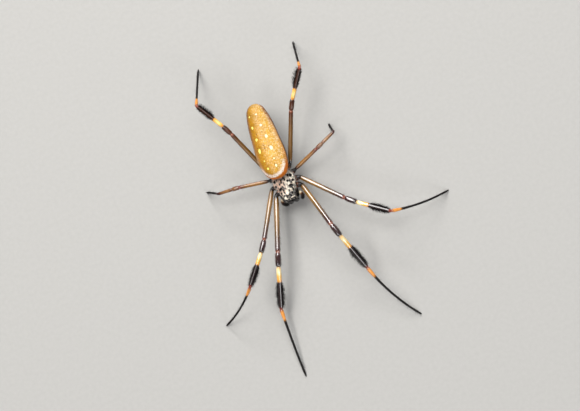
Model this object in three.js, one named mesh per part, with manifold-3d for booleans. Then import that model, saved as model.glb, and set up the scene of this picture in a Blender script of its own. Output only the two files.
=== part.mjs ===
// Orb weaver spider, a grown female, life size, standing still.
// Millimetres, +Z up. The head points along -Y and the animal's own left side is +X.
// It stands on z = 0 on eight small flats, one under the tip of each foot.

import * as THREE from 'three';
import { mergeVertices } from 'three/addons/utils/BufferGeometryUtils.js';
import Module from 'manifold-3d';

const wasm = await Module();
wasm.setup();
const { Manifold, Mesh: SolidMesh } = wasm;

// ---------------------------------------------------------------- main sizes

const GAP = 0.08;             // thin cut left between neighbouring parts
const LEG_SIDES = 9;          // facets round a leg
const BODY_SIDES = 24;        // facets round the trunk
const FOOT_TIP_HEIGHT = 0.1;  // centre of the rounded foot tip above the floor
const FOOT_BOW = 12;          // degrees a foot bends down along its length

// Leg pairs from front to back. hip is where the thigh starts, root is where the hip joint
// meets the breastplate; both are given for the left side. girth scales the free leg's
// thickness, hipGirth that of the hip joint.
const LEGS = {
  1: { root: [1.78, -1.3, 6.0], hip: [3.9, -1.95, 6.6], femur: 15.7, patella: 4.0, tibia: 12.6,
       foot: 20.1, girth: 1.32, hipGirth: 1.0 },
  2: { root: [2.03, 0.25, 6.0], hip: [4.25, 0.15, 6.6], femur: 14.4, patella: 3.7, tibia: 9.9,
       foot: 18.4, girth: 1.18, hipGirth: 0.97 },
  3: { root: [1.88, 1.85, 6.0], hip: [4.0, 2.5, 6.6], femur: 8.4, patella: 2.2, tibia: 4.5,
       foot: 7.8, girth: 0.9, hipGirth: 0.86 },
  4: { root: [1.3, 3.25, 6.0], hip: [3.35, 4.65, 6.6], femur: 14.8, patella: 3.2, tibia: 9.2,
       foot: 15.3, girth: 1.06, hipGirth: 0.95 },
};

// Pose in whole degrees. The first number turns a part from straight ahead toward its own
// side and on round to the tail, the second lifts it above level. A foot has two turns, at
// its start and at its tip: its slope follows from the floor.
const POSE = {
  left: {
    1: { femur: [17, 23], tibia: [11, -32], foot: [13, 34] },
    2: { femur: [42, 9], tibia: [52, 5], foot: [76, 99] },
    3: { femur: [108, 9], tibia: [112, -10], foot: [209, 204] },
    4: { femur: [152, 13], tibia: [140, 13], foot: [184, 190] },
  },
  right: {
    1: { femur: [21, 7], tibia: [25, -20], foot: [6, 5] },
    2: { femur: [30, 15], tibia: [42, 2], foot: [50, 77] },
    3: { femur: [102, 7], tibia: [97, -15], foot: [121, 115] },
    4: { femur: [162, 13], tibia: [152, 5], foot: [195, 190] },
  },
};

// Leg outlines: share of the part's length, then radius for a girth of 1.
const COXA = [[0, 0.72], [0.3, 0.83], [0.62, 0.84], [0.77, 0.68], [0.9, 0.7], [1, 0.62]];
const FEMUR = [[0, 0.45], [0.06, 0.55], [0.24, 0.61], [0.85, 0.585], [0.95, 0.61], [1, 0.53]];
const PATELLA = [[0, 0.53], [0.2, 0.68], [0.6, 0.69], [0.88, 0.65], [1, 0.51]];
const TIBIA = [[0, 0.49], [0.08, 0.55], [0.35, 0.545], [0.7, 0.5], [0.92, 0.485], [1, 0.42]];
// The outer part of the long shins wears a stiff brush, to whose tips the solid reaches at
// the sides and below; the upper side is bare. The third number is the height above the middle.
const BRUSHED_TIBIA = [[0, 0.49], [0.08, 0.55], [0.34, 0.54], [0.43, 0.84, 0.54], [0.58, 1.02, 0.53],
  [0.76, 0.98, 0.52], [0.9, 0.78, 0.51], [0.97, 0.56, 0.48], [1, 0.42]];
const BRUSH_REACH = { 1: 1, 2: 0.97, 4: 1.16 };   // how far each pair's brush stands out
const FOOT = [[0, 0.42], [0.06, 0.41], [0.12, 0.35], [0.19, 0.29], [0.4, 0.255], [0.81, 0.245],
  [0.96, 0.2]];

// Carapace: distance along Y, half width, top height, underside height.
const CARAPACE = [
  [-4.9, 1.55, 9.0, 7.9], [-4.72, 1.95, 9.5, 7.7], [-4.3, 2.2, 9.95, 7.5], [-3.5, 2.4, 10.15, 7.35],
  [-2.5, 2.48, 10.15, 7.3], [-1.6, 2.6, 10.05, 7.3], [-0.7, 2.95, 9.85, 7.3], [0.4, 3.28, 9.6, 7.3],
  [1.6, 3.28, 9.2, 7.3], [2.8, 2.9, 8.75, 7.3], [3.8, 2.15, 8.2, 7.3], [4.3, 1.45, 7.95, 7.3],
];
const CARAPACE_SQUARENESS = 0.82;
const HORN = { x: 0.85, y: 0.35, z: 9.35, radius: 0.34, height: 0.75 };

// Breastplate with the mouth lobes in front of it: distance along Y, half width.
const STERNUM = [
  [-3.35, 0.55], [-3.15, 0.95], [-2.7, 1.12], [-2.2, 1.2], [-1.3, 1.62], [-0.5, 1.82], [0.25, 1.9],
  [1.1, 1.86], [1.85, 1.74], [2.6, 1.42], [3.25, 1.0], [3.85, 0.45],
];
const STERNUM_LEVELS = [[4.85, 0.5], [4.98, 0.78], [5.25, 0.93], [5.7, 1], [7.22, 1]];

// Abdomen: its axis runs from the blunt front, above the carapace, down to the tail.
const ABDOMEN = {
  front: [-0.22, 1.7, 10.6],
  tail: [0.73, 23.45, 8.3],
  roll: 7,                    // degrees its back leans to the right
  // share of the length from the tail, half width, height above and depth below the axis
  outline: [
    [0.006, 0.8, 0.9, 0.7], [0.03, 1.78, 1.75, 1.5], [0.07, 2.42, 2.4, 2.1], [0.134, 2.9, 2.85, 2.7],
    [0.23, 3.38, 3.2, 3.2], [0.33, 3.66, 3.4, 3.45], [0.43, 3.84, 3.6, 3.6], [0.53, 4.0, 3.75, 3.7],
    [0.63, 4.19, 3.9, 3.75], [0.72, 4.21, 3.95, 3.6], [0.8, 4.06, 3.85, 3.05], [0.87, 3.66, 3.6, 2.15],
    [0.92, 3.2, 3.2, 1.5], [0.96, 2.6, 2.55, 1.05], [0.985, 1.75, 1.65, 0.72], [0.997, 0.75, 0.75, 0.4],
  ],
};
const PEDICEL = { from: [0, 4.0, 7.3], to: [-0.2, 6.1, 8.5], radius: 0.58 };
const SPINNERETS = { share: 0.25, radius: 1.15, height: 1.5 };

const CHELICERA = {
  path: [[0.83, -4.2, 8.0], [0.85, -4.62, 7.5], [0.87, -4.94, 6.8], [0.86, -5.05, 6.0], [0.8, -5.02, 5.1],
    [0.72, -4.86, 4.35], [0.68, -4.73, 4.05]],
  radius: [0.55, 0.73, 0.77, 0.77, 0.69, 0.52, 0.3],
  fang: { from: [0.66, -4.82, 4.25], to: [0.2, -4.17, 3.75], radius: 0.2 },
};
const PALP = {
  path: [[1.42, -3.15, 5.7], [2.05, -3.42, 6.4], [2.65, -3.86, 6.85], [2.98, -4.5, 6.7], [2.85, -5.0, 5.95],
    [2.53, -5.22, 5.1], [2.25, -5.25, 4.4], [2.15, -5.22, 4.1]],
  radius: [0.36, 0.42, 0.42, 0.42, 0.4, 0.38, 0.32, 0.2],
};

// Eyes of the left side: two rows of four, the outer two of each row close together.
const EYE_RADIUS = 0.23;
const EYES = {
  front_middle: [0.42, -4.74, 9.62],
  rear_middle: [0.45, -3.85, 10.24],
  front_side: [1.78, -4.45, 9.42],
  rear_side: [1.86, -3.95, 9.68],
};

// ------------------------------------------------------------------- colours

const COLOURS = {
  carapace: 0xb9b2a8,
  sternum: 0x3a2c22,
  abdomen: 0xd79c3a,
  pedicel: 0x6e4a30,
  spinnerets: 0x8a5a2c,
  chelicerae: 0x15110f,
  palps: 0x241a15,
  eyes: 0x0a0a0b,
  coxae: 0x6b4c3c,
  femurs: 0x7a5a26,
  patellas: 0x35130d,
  tibias: 0x1c1512,
  feet: 0x17120f,
};

// ------------------------------------------------------------------- helpers

const vec = (a) => new THREE.Vector3(...a);
const mirror = (a, side) => [side === 'left' ? a[0] : -a[0], a[1], a[2]];
const UP = new THREE.Vector3(0, 0, 1);

// A unit direction from a turn away from straight ahead and a slope above level.
function heading(turn, slope, side) {
  const t = THREE.MathUtils.degToRad(turn);
  const s = THREE.MathUtils.degToRad(slope);
  const x = Math.sin(t) * Math.cos(s);
  return new THREE.Vector3(side === 'left' ? x : -x, -Math.cos(t) * Math.cos(s), Math.sin(s));
}

// A value read off a short table by straight lines between its rows.
function readTable(rows, at, column) {
  if (at <= rows[0][0]) return rows[0][column];
  for (let i = 1; i < rows.length; i += 1) {
    if (at <= rows[i][0]) {
      const share = (at - rows[i - 1][0]) / (rows[i][0] - rows[i - 1][0]);
      return THREE.MathUtils.lerp(rows[i - 1][column], rows[i][column], share);
    }
  }
  return rows[rows.length - 1][column];
}

// A closed solid through a row of rings, each end closed to a point or to its own middle.
function loft(rings, startPoint, endPoint) {
  const n = rings[0].length;
  const middle = (ring) => ring.reduce((s, p) => s.add(p), new THREE.Vector3()).divideScalar(n);
  const points = rings.flat();
  const start = points.length;
  points.push(startPoint || middle(rings[0]), endPoint || middle(rings[rings.length - 1]));
  const faces = [];
  for (let k = 0; k < n; k += 1) {
    const next = (k + 1) % n;
    for (let r = 0; r + 1 < rings.length; r += 1) {
      const a = r * n + k;
      const b = r * n + next;
      faces.push(a, b, b + n, a, b + n, a + n);
    }
    const last = (rings.length - 1) * n;
    faces.push(start, next, k, start + 1, last + k, last + next);
  }
  let volume = 0;
  for (let i = 0; i < faces.length; i += 3) {
    const [a, b, c] = [points[faces[i]], points[faces[i + 1]], points[faces[i + 2]]];
    volume += a.dot(b.clone().cross(c));
  }
  if (volume < 0) faces.reverse();
  const geometry = new THREE.BufferGeometry();
  const flat = points.flatMap((p) => [p.x, p.y, p.z]);
  geometry.setAttribute('position', new THREE.Float32BufferAttribute(flat, 3));
  geometry.setIndex(faces);
  return geometry;
}

// A ring of points round a centre, square to a direction, its first axis level.
function ringAt(centre, direction, wide, tall, sides, crown = tall) {
  const level = direction.clone().cross(UP).normalize();
  const over = level.clone().cross(direction).normalize();
  return Array.from({ length: sides }, (_, k) => {
    const angle = (2 * Math.PI * (k + 0.5)) / sides;
    return centre.clone().addScaledVector(level, wide * Math.cos(angle))
      .addScaledVector(over, (Math.sin(angle) > 0 ? crown : tall) * Math.sin(angle));
  });
}

// The ring slid along its own part until it lies on the joint's plane.
function slideOnto(ring, direction, planePoint, planeNormal) {
  return ring.map((p) => {
    const away = planePoint.clone().sub(p).dot(planeNormal) / direction.dot(planeNormal);
    return p.clone().addScaledVector(direction, away);
  });
}

// A tube along a line of points, with a radius at each, its tip rounded if asked. A crown is
// the radius of the upper side alone.
function tube(path, radii, { grow = 0, sides = LEG_SIDES, startPlane, endPlane, roundTip, crowns = [] } = {}) {
  const rings = path.map((point, i) => {
    const before = path[Math.max(i - 1, 0)];
    const after = path[Math.min(i + 1, path.length - 1)];
    const direction = after.clone().sub(before).normalize();
    const tall = (radii[i] + grow) * 1.04;
    const ring = ringAt(point, direction, radii[i] + grow, tall, sides, crowns[i] ?? tall);
    if (i === 0 && startPlane) return slideOnto(ring, direction, startPlane.point, startPlane.normal);
    if (i === path.length - 1 && endPlane) {
      return slideOnto(ring, direction, endPlane.point, endPlane.normal);
    }
    return ring;
  });
  if (!roundTip) return loft(rings);
  const tip = path[path.length - 1];
  const direction = tip.clone().sub(path[path.length - 2]).normalize();
  const radius = radii[radii.length - 1];
  for (const angle of [35, 65]) {
    const a = THREE.MathUtils.degToRad(angle);
    const centre = tip.clone().addScaledVector(direction, radius * Math.sin(a));
    rings.push(ringAt(centre, direction, radius * Math.cos(a), radius * Math.cos(a), sides));
  }
  return loft(rings, undefined, tip.clone().addScaledVector(direction, radius));
}

function toSolid(geometry) {
  const plain = geometry.clone();
  plain.deleteAttribute('normal');
  plain.deleteAttribute('uv');
  const merged = mergeVertices(plain, 1e-4);
  return new Manifold(new SolidMesh({
    numProp: 3,
    vertProperties: new Float32Array(merged.attributes.position.array),
    triVerts: new Uint32Array(merged.index.array),
  }));
}

function fromSolid(solid) {
  const mesh = solid.getMesh();
  const geometry = new THREE.BufferGeometry();
  geometry.setAttribute('position', new THREE.BufferAttribute(mesh.vertProperties, 3));
  geometry.setIndex(new THREE.BufferAttribute(mesh.triVerts, 1));
  return geometry;
}

const spider = new THREE.Group();
spider.name = 'orb_weaver_spider';

function addPart(name, geometry, slot) {
  const shape = geometry instanceof Manifold ? fromSolid(geometry) : geometry;
  shape.computeVertexNormals();
  const material = new THREE.MeshStandardMaterial({ color: COLOURS[slot], roughness: 0.45 });
  material.name = slot;
  const mesh = new THREE.Mesh(shape, material);
  mesh.name = name;
  spider.add(mesh);
}

// ---------------------------------------------------------------------- legs

// The foot's line from the ankle: it turns evenly from its first heading to its last.
function footLine(ankle, length, [turnStart, turnEnd], slope, side, steps) {
  const points = [ankle.clone()];
  for (let i = 0; i < steps; i += 1) {
    const share = (i + 0.5) / steps;
    const turn = THREE.MathUtils.lerp(turnStart, turnEnd, share);
    const step = heading(turn, slope - FOOT_BOW * (share - 0.5), side);
    points.push(points[i].clone().addScaledVector(step, length / steps));
  }
  return points;
}

// The slope that sets the tip of the foot just over the floor.
function slopeToFloor(ankle, length, turns, side) {
  let low = -88;
  let high = 20;
  for (let i = 0; i < 40; i += 1) {
    const slope = (low + high) / 2;
    const tip = footLine(ankle, length, turns, slope, side, 24).pop();
    if (tip.z < FOOT_TIP_HEIGHT) low = slope;
    else high = slope;
  }
  return (low + high) / 2;
}

// One straight part of a leg between two joints, trimmed on the planes of both joints.
function legPart(from, to, outline, girth, startNormal, endNormal) {
  const direction = to.clone().sub(from).normalize();
  const length = from.distanceTo(to);
  const path = outline.map(([share]) => from.clone().addScaledVector(direction, length * share));
  const startNormalOrAxis = startNormal || direction;
  const endNormalOrAxis = endNormal || direction;
  return tube(path, outline.map(([, radius]) => radius * girth), {
    crowns: outline.map(([, , crown]) => crown && crown * girth),
    startPlane: { point: from.clone().addScaledVector(startNormalOrAxis, GAP / 2), normal: startNormalOrAxis },
    endPlane: { point: to.clone().addScaledVector(endNormalOrAxis, -GAP / 2), normal: endNormalOrAxis },
  });
}

const hipShapes = [];   // grown hip joints, cut out of the trunk

for (const side of ['left', 'right']) {
  for (const pair of [1, 2, 3, 4]) {
    const leg = LEGS[pair];
    const pose = POSE[side][pair];
    const root = vec(mirror(leg.root, side));
    const hip = vec(mirror(leg.hip, side));
    const femurWay = heading(...pose.femur, side);
    const tibiaWay = heading(...pose.tibia, side);
    const patellaWay = femurWay.clone().add(tibiaWay).normalize();
    const knee = hip.clone().addScaledVector(femurWay, leg.femur);
    const shin = knee.clone().addScaledVector(patellaWay, leg.patella);
    const ankle = shin.clone().addScaledVector(tibiaWay, leg.tibia);
    const slope = slopeToFloor(ankle, leg.foot, pose.foot, side);
    const footWay = heading(pose.foot[0], slope + FOOT_BOW / 2, side);

    const coxaWay = hip.clone().sub(root).normalize();
    const hipNormal = coxaWay.clone().add(femurWay).normalize();
    const kneeNormal = femurWay.clone().add(patellaWay).normalize();
    const shinNormal = patellaWay.clone().add(tibiaWay).normalize();
    const ankleNormal = tibiaWay.clone().add(footWay).normalize();

    const name = `leg${pair}_${side}`;
    const { girth, hipGirth } = leg;
    addPart(`${name}_coxa`, legPart(root, hip, COXA, hipGirth, null, hipNormal), 'coxae');
    addPart(`${name}_femur`, legPart(hip, knee, FEMUR, girth, hipNormal, kneeNormal), 'femurs');
    addPart(`${name}_patella`, legPart(knee, shin, PATELLA, girth, kneeNormal, shinNormal), 'patellas');
    const reach = BRUSH_REACH[pair];
    const shinOutline = reach
      ? BRUSHED_TIBIA.map(([share, radius, crown]) => [share, crown ? radius * reach : radius, crown])
      : TIBIA;
    addPart(`${name}_tibia`, legPart(shin, ankle, shinOutline, girth, shinNormal, ankleNormal), 'tibias');

    const line = new THREE.CatmullRomCurve3(footLine(ankle, leg.foot, pose.foot, slope, side, 24));
    const footPath = [...FOOT.map(([share]) => line.getPointAt(share)), line.getPointAt(1)];
    const footRadii = [...FOOT.map(([, radius]) => Math.max(radius * girth, 0.3)), 0.26];
    const foot = tube(footPath, footRadii, {
      startPlane: { point: ankle.clone().addScaledVector(ankleNormal, GAP / 2), normal: ankleNormal },
      roundTip: true,
    });
    addPart(`${name}_foot`, toSolid(foot).trimByPlane([0, 0, 1], 0), 'feet');

    const grownPath = COXA.map(([share]) => root.clone().lerp(hip, share));
    hipShapes.push(toSolid(tube(grownPath, COXA.map(([, radius]) => radius * hipGirth + GAP))));
  }
}

// --------------------------------------------------------------------- trunk

// Head parts of both sides, and the same grown by the gap to cut their seats.
const seats = { head: [], mouth: [] };

function pairedTube({ path, radius }, side, grow, sides) {
  return tube(path.map((p) => vec(mirror(p, side))), radius, { grow, sides });
}

for (const side of ['left', 'right']) {
  const { from, to, radius } = CHELICERA.fang;
  const fangLine = [vec(mirror(from, side)), vec(mirror(from, side)).lerp(vec(mirror(to, side)), 0.6)];
  fangLine.push(vec(mirror(to, side)));
  const fang = toSolid(tube(fangLine, [radius, radius * 0.8, radius * 0.4], { sides: 8 }));
  const chelicera = toSolid(pairedTube(CHELICERA, side, 0, 12)).add(fang);
  addPart(`chelicera_${side}`, chelicera, 'chelicerae');
  seats.head.push(toSolid(pairedTube(CHELICERA, side, GAP, 12)));

  addPart(`palp_${side}`, pairedTube(PALP, side, 0, 10), 'palps');
  seats.mouth.push(toSolid(pairedTube(PALP, side, GAP, 10)));

  for (const [place, centre] of Object.entries(EYES)) {
    const at = mirror(centre, side);
    const eye = new THREE.SphereGeometry(EYE_RADIUS, 8, 6).translate(...at);
    addPart(`eye_${place}_${side}`, mergeVertices(stripped(eye), 1e-4), 'eyes');
    seats.head.push(toSolid(new THREE.SphereGeometry(EYE_RADIUS + GAP, 8, 6).translate(...at)));
  }
}

function stripped(geometry) {
  geometry.deleteAttribute('normal');
  geometry.deleteAttribute('uv');
  return geometry;
}

const power = (value, exponent) => Math.sign(value) * Math.abs(value) ** exponent;

// Carapace: a low dome over the front of the body, flat below, with two small blunt horns.
function carapaceRing([y, halfWidth, top, base]) {
  return Array.from({ length: BODY_SIDES }, (_, k) => {
    const angle = (2 * Math.PI * k) / BODY_SIDES;
    const across = halfWidth * power(Math.cos(angle), CARAPACE_SQUARENESS);
    const rise = power(Math.sin(angle), CARAPACE_SQUARENESS);
    const z = rise > 0 ? base + 0.35 + (top - base - 0.35) * rise : base + 0.35 + 0.35 * rise;
    return new THREE.Vector3(across, y, z);
  });
}

const pedicelPath = [vec(PEDICEL.from), vec(PEDICEL.from).lerp(vec(PEDICEL.to), 0.5), vec(PEDICEL.to)];
const pedicelRadii = [PEDICEL.radius, PEDICEL.radius * 0.85, PEDICEL.radius];
addPart('pedicel', tube(pedicelPath, pedicelRadii, { sides: 12 }), 'pedicel');
const grownPath = [
  vec(PEDICEL.from).lerp(vec(PEDICEL.to), -0.04), pedicelPath[1], vec(PEDICEL.from).lerp(vec(PEDICEL.to), 1.04),
];
const pedicelSeat = toSolid(tube(grownPath, pedicelRadii, { grow: GAP, sides: 12 }));

let carapace = toSolid(loft(CARAPACE.map(carapaceRing)));
for (const x of [HORN.x, -HORN.x]) {
  const horn = new THREE.CylinderGeometry(0.12, HORN.radius, HORN.height, 10);
  horn.rotateX(Math.PI / 2).translate(x, HORN.y, HORN.z + HORN.height / 2);
  carapace = carapace.add(toSolid(horn));
}
for (const seat of [...seats.head, ...hipShapes, pedicelSeat]) carapace = carapace.subtract(seat);
addPart('carapace', carapace, 'carapace');

// Breastplate and mouth lobes: one outline stacked up from the rounded underside.
function sternumRing([z, spread]) {
  const left = STERNUM.map(([y, half]) => new THREE.Vector3(half * spread, 0.3 + (y - 0.3) * (0.6 + 0.4 * spread), z));
  const right = left.map((p) => new THREE.Vector3(-p.x, p.y, z)).reverse();
  return [...left, ...right];
}
let sternum = toSolid(loft(STERNUM_LEVELS.map(sternumRing)));
for (const seat of [...seats.mouth, ...seats.head, ...hipShapes, pedicelSeat]) sternum = sternum.subtract(seat);
addPart('sternum', sternum, 'sternum');

// Abdomen: rings square to its axis, leaning with the roll.
const axisStart = vec(ABDOMEN.tail);
const axis = vec(ABDOMEN.front).sub(axisStart);
const along = axis.clone().normalize();
const across = along.clone().cross(UP).normalize().applyAxisAngle(along, THREE.MathUtils.degToRad(ABDOMEN.roll));
const over = across.clone().cross(along).normalize();

function abdomenRing([share, halfWidth, above, below]) {
  const centre = axisStart.clone().addScaledVector(axis, share);
  return Array.from({ length: BODY_SIDES }, (_, k) => {
    const angle = (2 * Math.PI * k) / BODY_SIDES;
    const tall = Math.sin(angle) > 0 ? above : below;
    return centre.clone().addScaledVector(across, halfWidth * Math.cos(angle))
      .addScaledVector(over, tall * Math.sin(angle));
  });
}
let abdomen = toSolid(loft(ABDOMEN.outline.map(abdomenRing), axisStart, vec(ABDOMEN.front)));

// Spinnerets: a low mound under the tail half with four blunt cones on it.
const depth = readTable(ABDOMEN.outline, SPINNERETS.share, 3);
const mound = axisStart.clone().addScaledVector(axis, SPINNERETS.share).addScaledVector(over, -depth + 0.5);
const outward = over.clone().multiplyScalar(-1).addScaledVector(along, -0.35).normalize();
const moundPath = [0, 0.5, 0.95].map((d) => mound.clone().addScaledVector(outward, d));
const moundRadii = [1, 0.95, 0.8].map((share) => share * SPINNERETS.radius);
let spinnerets = toSolid(tube(moundPath, moundRadii, { sides: 14 }));
for (const [sideways, back] of [[0.42, -0.35], [-0.42, -0.35], [0.4, 0.4], [-0.4, 0.4]]) {
  const foot = mound.clone().addScaledVector(across, sideways).addScaledVector(along, -back)
    .addScaledVector(outward, 0.6);
  const lean = outward.clone().addScaledVector(across, -sideways * 0.35).normalize();
  const cone = [0, 0.6, 1].map((share) => foot.clone().addScaledVector(lean, share * SPINNERETS.height * 0.8));
  spinnerets = spinnerets.add(toSolid(tube(cone, [0.42, 0.33, 0.2], { sides: 10 })));
}
addPart('spinnerets', spinnerets, 'spinnerets');
const moundSeat = [-GAP, 0.5, 1.1].map((d) => mound.clone().addScaledVector(outward, d));
abdomen = abdomen.subtract(toSolid(tube(moundSeat, moundRadii, { grow: GAP, sides: 14 })));
abdomen = abdomen.subtract(pedicelSeat);
addPart('abdomen', abdomen, 'abdomen');

// The origin is the middle of the animal's box, on the floor.
const box = new THREE.Box3().setFromObject(spider);
const centre = box.getCenter(new THREE.Vector3());
for (const part of spider.children) part.geometry.translate(-centre.x, -centre.y, 0);

export default spider;
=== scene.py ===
# Golden orb weaver spider, a grown female, life size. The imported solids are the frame, in
# metres; sizes below are in millimetres as in the part's source, and MM turns them to metres.
import functools
import math

import bmesh
import bpy
import numpy as np
from mathutils import Matrix, Vector
from mathutils.bvhtree import BVHTree


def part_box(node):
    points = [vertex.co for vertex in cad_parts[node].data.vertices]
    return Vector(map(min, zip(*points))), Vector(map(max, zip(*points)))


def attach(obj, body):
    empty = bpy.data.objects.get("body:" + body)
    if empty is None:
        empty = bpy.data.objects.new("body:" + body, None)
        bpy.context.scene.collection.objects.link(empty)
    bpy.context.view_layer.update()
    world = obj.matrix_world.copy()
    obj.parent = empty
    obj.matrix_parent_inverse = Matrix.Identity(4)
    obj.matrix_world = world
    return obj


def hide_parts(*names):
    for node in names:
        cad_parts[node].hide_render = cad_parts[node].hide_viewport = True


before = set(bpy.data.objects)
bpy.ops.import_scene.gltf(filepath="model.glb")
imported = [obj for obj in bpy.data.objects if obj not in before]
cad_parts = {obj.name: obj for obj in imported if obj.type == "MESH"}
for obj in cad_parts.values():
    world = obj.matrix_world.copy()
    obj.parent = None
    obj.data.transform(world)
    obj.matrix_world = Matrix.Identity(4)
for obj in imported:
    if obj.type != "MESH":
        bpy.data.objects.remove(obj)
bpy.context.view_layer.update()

MM = 0.001
SEED = 7
# Added to the seed for the random draws of each coat of hair.
DRAWS = {"carapace": 100, "cheek": 110, "breastplate": 200, "abdomen": 300, "mouth": 400}
# How many hairs each coat has; for legs, jaws and feelers it is the number on each.
HAIRS = {"leg": 2200, "short_leg": 1400, "carapace": 7000, "cheek": 3000, "breastplate": 1500,
         "abdomen": 7000, "jaw": 700, "feeler": 1500}
SIDES = ("left", "right")
UP = Vector((0, 0, 1))
MIDDLE = (0, 0, 0)

# ---------------------------------------------------------------- sizes, in mm

# The part's source sets the origin at the middle of the box after building the animal round
# its own breastplate. The carapace is even from side to side, so it says where that went.
CARAPACE_FRONT = -4.9
_low, _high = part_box("carapace")
SHIFT = Vector(((_low.x + _high.x) / 2, _low.y - CARAPACE_FRONT * MM, 0))

LEGS = {
    1: dict(root=(1.78, -1.3, 6.0), hip=(3.9, -1.95, 6.6), femur=15.7, patella=4.0, tibia=12.6,
            foot=20.1, tarsus=3.8, girth=1.32, hip_girth=1.0),
    2: dict(root=(2.03, 0.25, 6.0), hip=(4.25, 0.15, 6.6), femur=14.4, patella=3.7, tibia=9.9,
            foot=18.4, tarsus=3.5, girth=1.18, hip_girth=0.97),
    3: dict(root=(1.88, 1.85, 6.0), hip=(4.0, 2.5, 6.6), femur=8.4, patella=2.2, tibia=4.5,
            foot=7.8, tarsus=2.3, girth=0.9, hip_girth=0.86),
    4: dict(root=(1.3, 3.25, 6.0), hip=(3.35, 4.65, 6.6), femur=14.8, patella=3.2, tibia=9.2,
            foot=15.3, tarsus=3.0, girth=1.06, hip_girth=0.95),
}
# Whole degrees: turn from straight ahead toward the leg's own side, and lift above level.
# A foot has the turn at its start and at its tip; its slope follows from the floor.
POSE = {
    "left": {
        1: dict(femur=(17, 23), tibia=(11, -32), foot=(13, 34)),
        2: dict(femur=(42, 9), tibia=(52, 5), foot=(76, 99)),
        3: dict(femur=(108, 9), tibia=(112, -10), foot=(209, 204)),
        4: dict(femur=(152, 13), tibia=(140, 13), foot=(184, 190)),
    },
    "right": {
        1: dict(femur=(21, 7), tibia=(25, -20), foot=(6, 5)),
        2: dict(femur=(30, 15), tibia=(42, 2), foot=(50, 77)),
        3: dict(femur=(102, 7), tibia=(97, -15), foot=(121, 115)),
        4: dict(femur=(162, 13), tibia=(152, 5), foot=(195, 190)),
    },
}
FOOT_BOW = 12
FOOT_TIP_HEIGHT = 0.13
LEG_SIDES = 16
THIN_FOOT = 0.285    # least radius of a foot, short of its tip
THIN_TIP = 0.045     # least radius of a leg anywhere
CLAW_HOOK = 0.1925   # how far a claw curves down, as a share of its length
LEG_NODES = ("coxa", "femur", "patella", "tibia", "foot")

# Leg outlines: share of the segment's length, then radius for a girth of 1.
OUTLINES = {
    "coxa": [(0, 0.55), (0.06, 0.68), (0.25, 0.8), (0.5, 0.83), (0.68, 0.82), (0.75, 0.7),
             (0.78, 0.6), (0.81, 0.66), (0.87, 0.69), (0.93, 0.64), (0.97, 0.52)],
    "femur": [(0, 0.4), (0.01, 0.41), (0.02, 0.455), (0.045, 0.51), (0.1, 0.56), (0.2, 0.595),
              (0.35, 0.595), (0.5, 0.59), (0.65, 0.58), (0.8, 0.57), (0.9, 0.575), (0.95, 0.59),
              (0.975, 0.565), (0.99, 0.48)],
    "patella": [(0, 0.4), (0.03, 0.46), (0.08, 0.56), (0.2, 0.65), (0.45, 0.675), (0.7, 0.665),
                (0.86, 0.63), (0.94, 0.56), (0.98, 0.45)],
    "tibia": [(0, 0.38), (0.01, 0.41), (0.03, 0.475), (0.07, 0.53), (0.16, 0.54), (0.3, 0.53),
              (0.45, 0.505), (0.6, 0.485), (0.75, 0.47), (0.87, 0.465), (0.94, 0.47), (0.97, 0.45),
              (0.985, 0.4)],
    "metatarsus": [(0, 0.31), (0.012, 0.33), (0.03, 0.4), (0.06, 0.415), (0.11, 0.385), (0.17, 0.33),
                   (0.23, 0.28), (0.32, 0.255), (0.45, 0.248), (0.58, 0.245), (0.7, 0.242),
                   (0.82, 0.238), (0.92, 0.23), (0.97, 0.222)],
    "tarsus": [(0, 0.205), (0.04, 0.222), (0.14, 0.228), (0.3, 0.22), (0.48, 0.21), (0.66, 0.196),
               (0.82, 0.177), (0.93, 0.147), (0.98, 0.105), (1, 0.05)],
}
SEGMENTS = list(OUTLINES)
# Where the shin's brush starts, its hairs and spiky locks, and the length of its hair in mm.
# Inner is how much the side toward the body outgrows the far side.
BRUSH = {1: dict(start=0.345, count=3800, locks=230, length=1.26, end_length=0.7, inner=0.1),
         2: dict(start=0.345, count=3200, locks=200, length=1.08, end_length=0.6, inner=0.12),
         4: dict(start=0.34, count=2700, locks=170, length=1.12, end_length=0.78, inner=0.42)}

# Trunk, from the front: place along Y, half width, top height, underside height.
CARAPACE = [
    (-4.86, 1.2, 8.75, 8.0), (-4.84, 1.5, 9.0, 7.85), (-4.68, 1.88, 9.48, 7.7),
    (-4.3, 2.13, 9.9, 7.5), (-3.9, 2.25, 10.05, 7.42), (-3.4, 2.33, 10.1, 7.36),
    (-2.8, 2.4, 10.12, 7.33), (-2.2, 2.43, 10.1, 7.33), (-1.6, 2.54, 10.0, 7.33),
    (-1.1, 2.72, 9.86, 7.33), (-0.5, 2.98, 9.72, 7.33), (0.2, 3.18, 9.56, 7.33),
    (1.0, 3.25, 9.32, 7.33), (1.8, 3.18, 9.05, 7.33), (2.6, 2.92, 8.75, 7.33),
    (3.3, 2.5, 8.42, 7.33), (3.8, 2.05, 8.15, 7.35), (4.15, 1.6, 7.98, 7.38), (4.28, 1.2, 7.88, 7.45),
]
CARAPACE_WAIST = 0.35    # the shell is widest this far above its underside
# Pushed up on the left of the shell, as place, move and reach: the small horn, its tip, and the
# knobs of the side eyes, the front middle eye and the rear middle eye.
SHELL_KNOBS = [((0.85, 0.35, 9.6), (0.04, 0, 0.42), 0.5), ((0.85, 0.35, 10.0), (0, 0, 0.22), 0.24),
               ((1.84, -4.2, 9.5), (0.14, -0.05, 0.1), 0.5), ((0.44, -4.7, 9.6), (0, -0.1, 0.08), 0.36),
               ((0.45, -3.85, 10.1), (0, 0, 0.1), 0.34)]
# Shallow pits on the left of the shell: place along X and Y.
SHELL_PITS = [(1.3, 1.7), (2.0, 2.1), (1.9, 0.3), (2.6, 0.7)]
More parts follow.
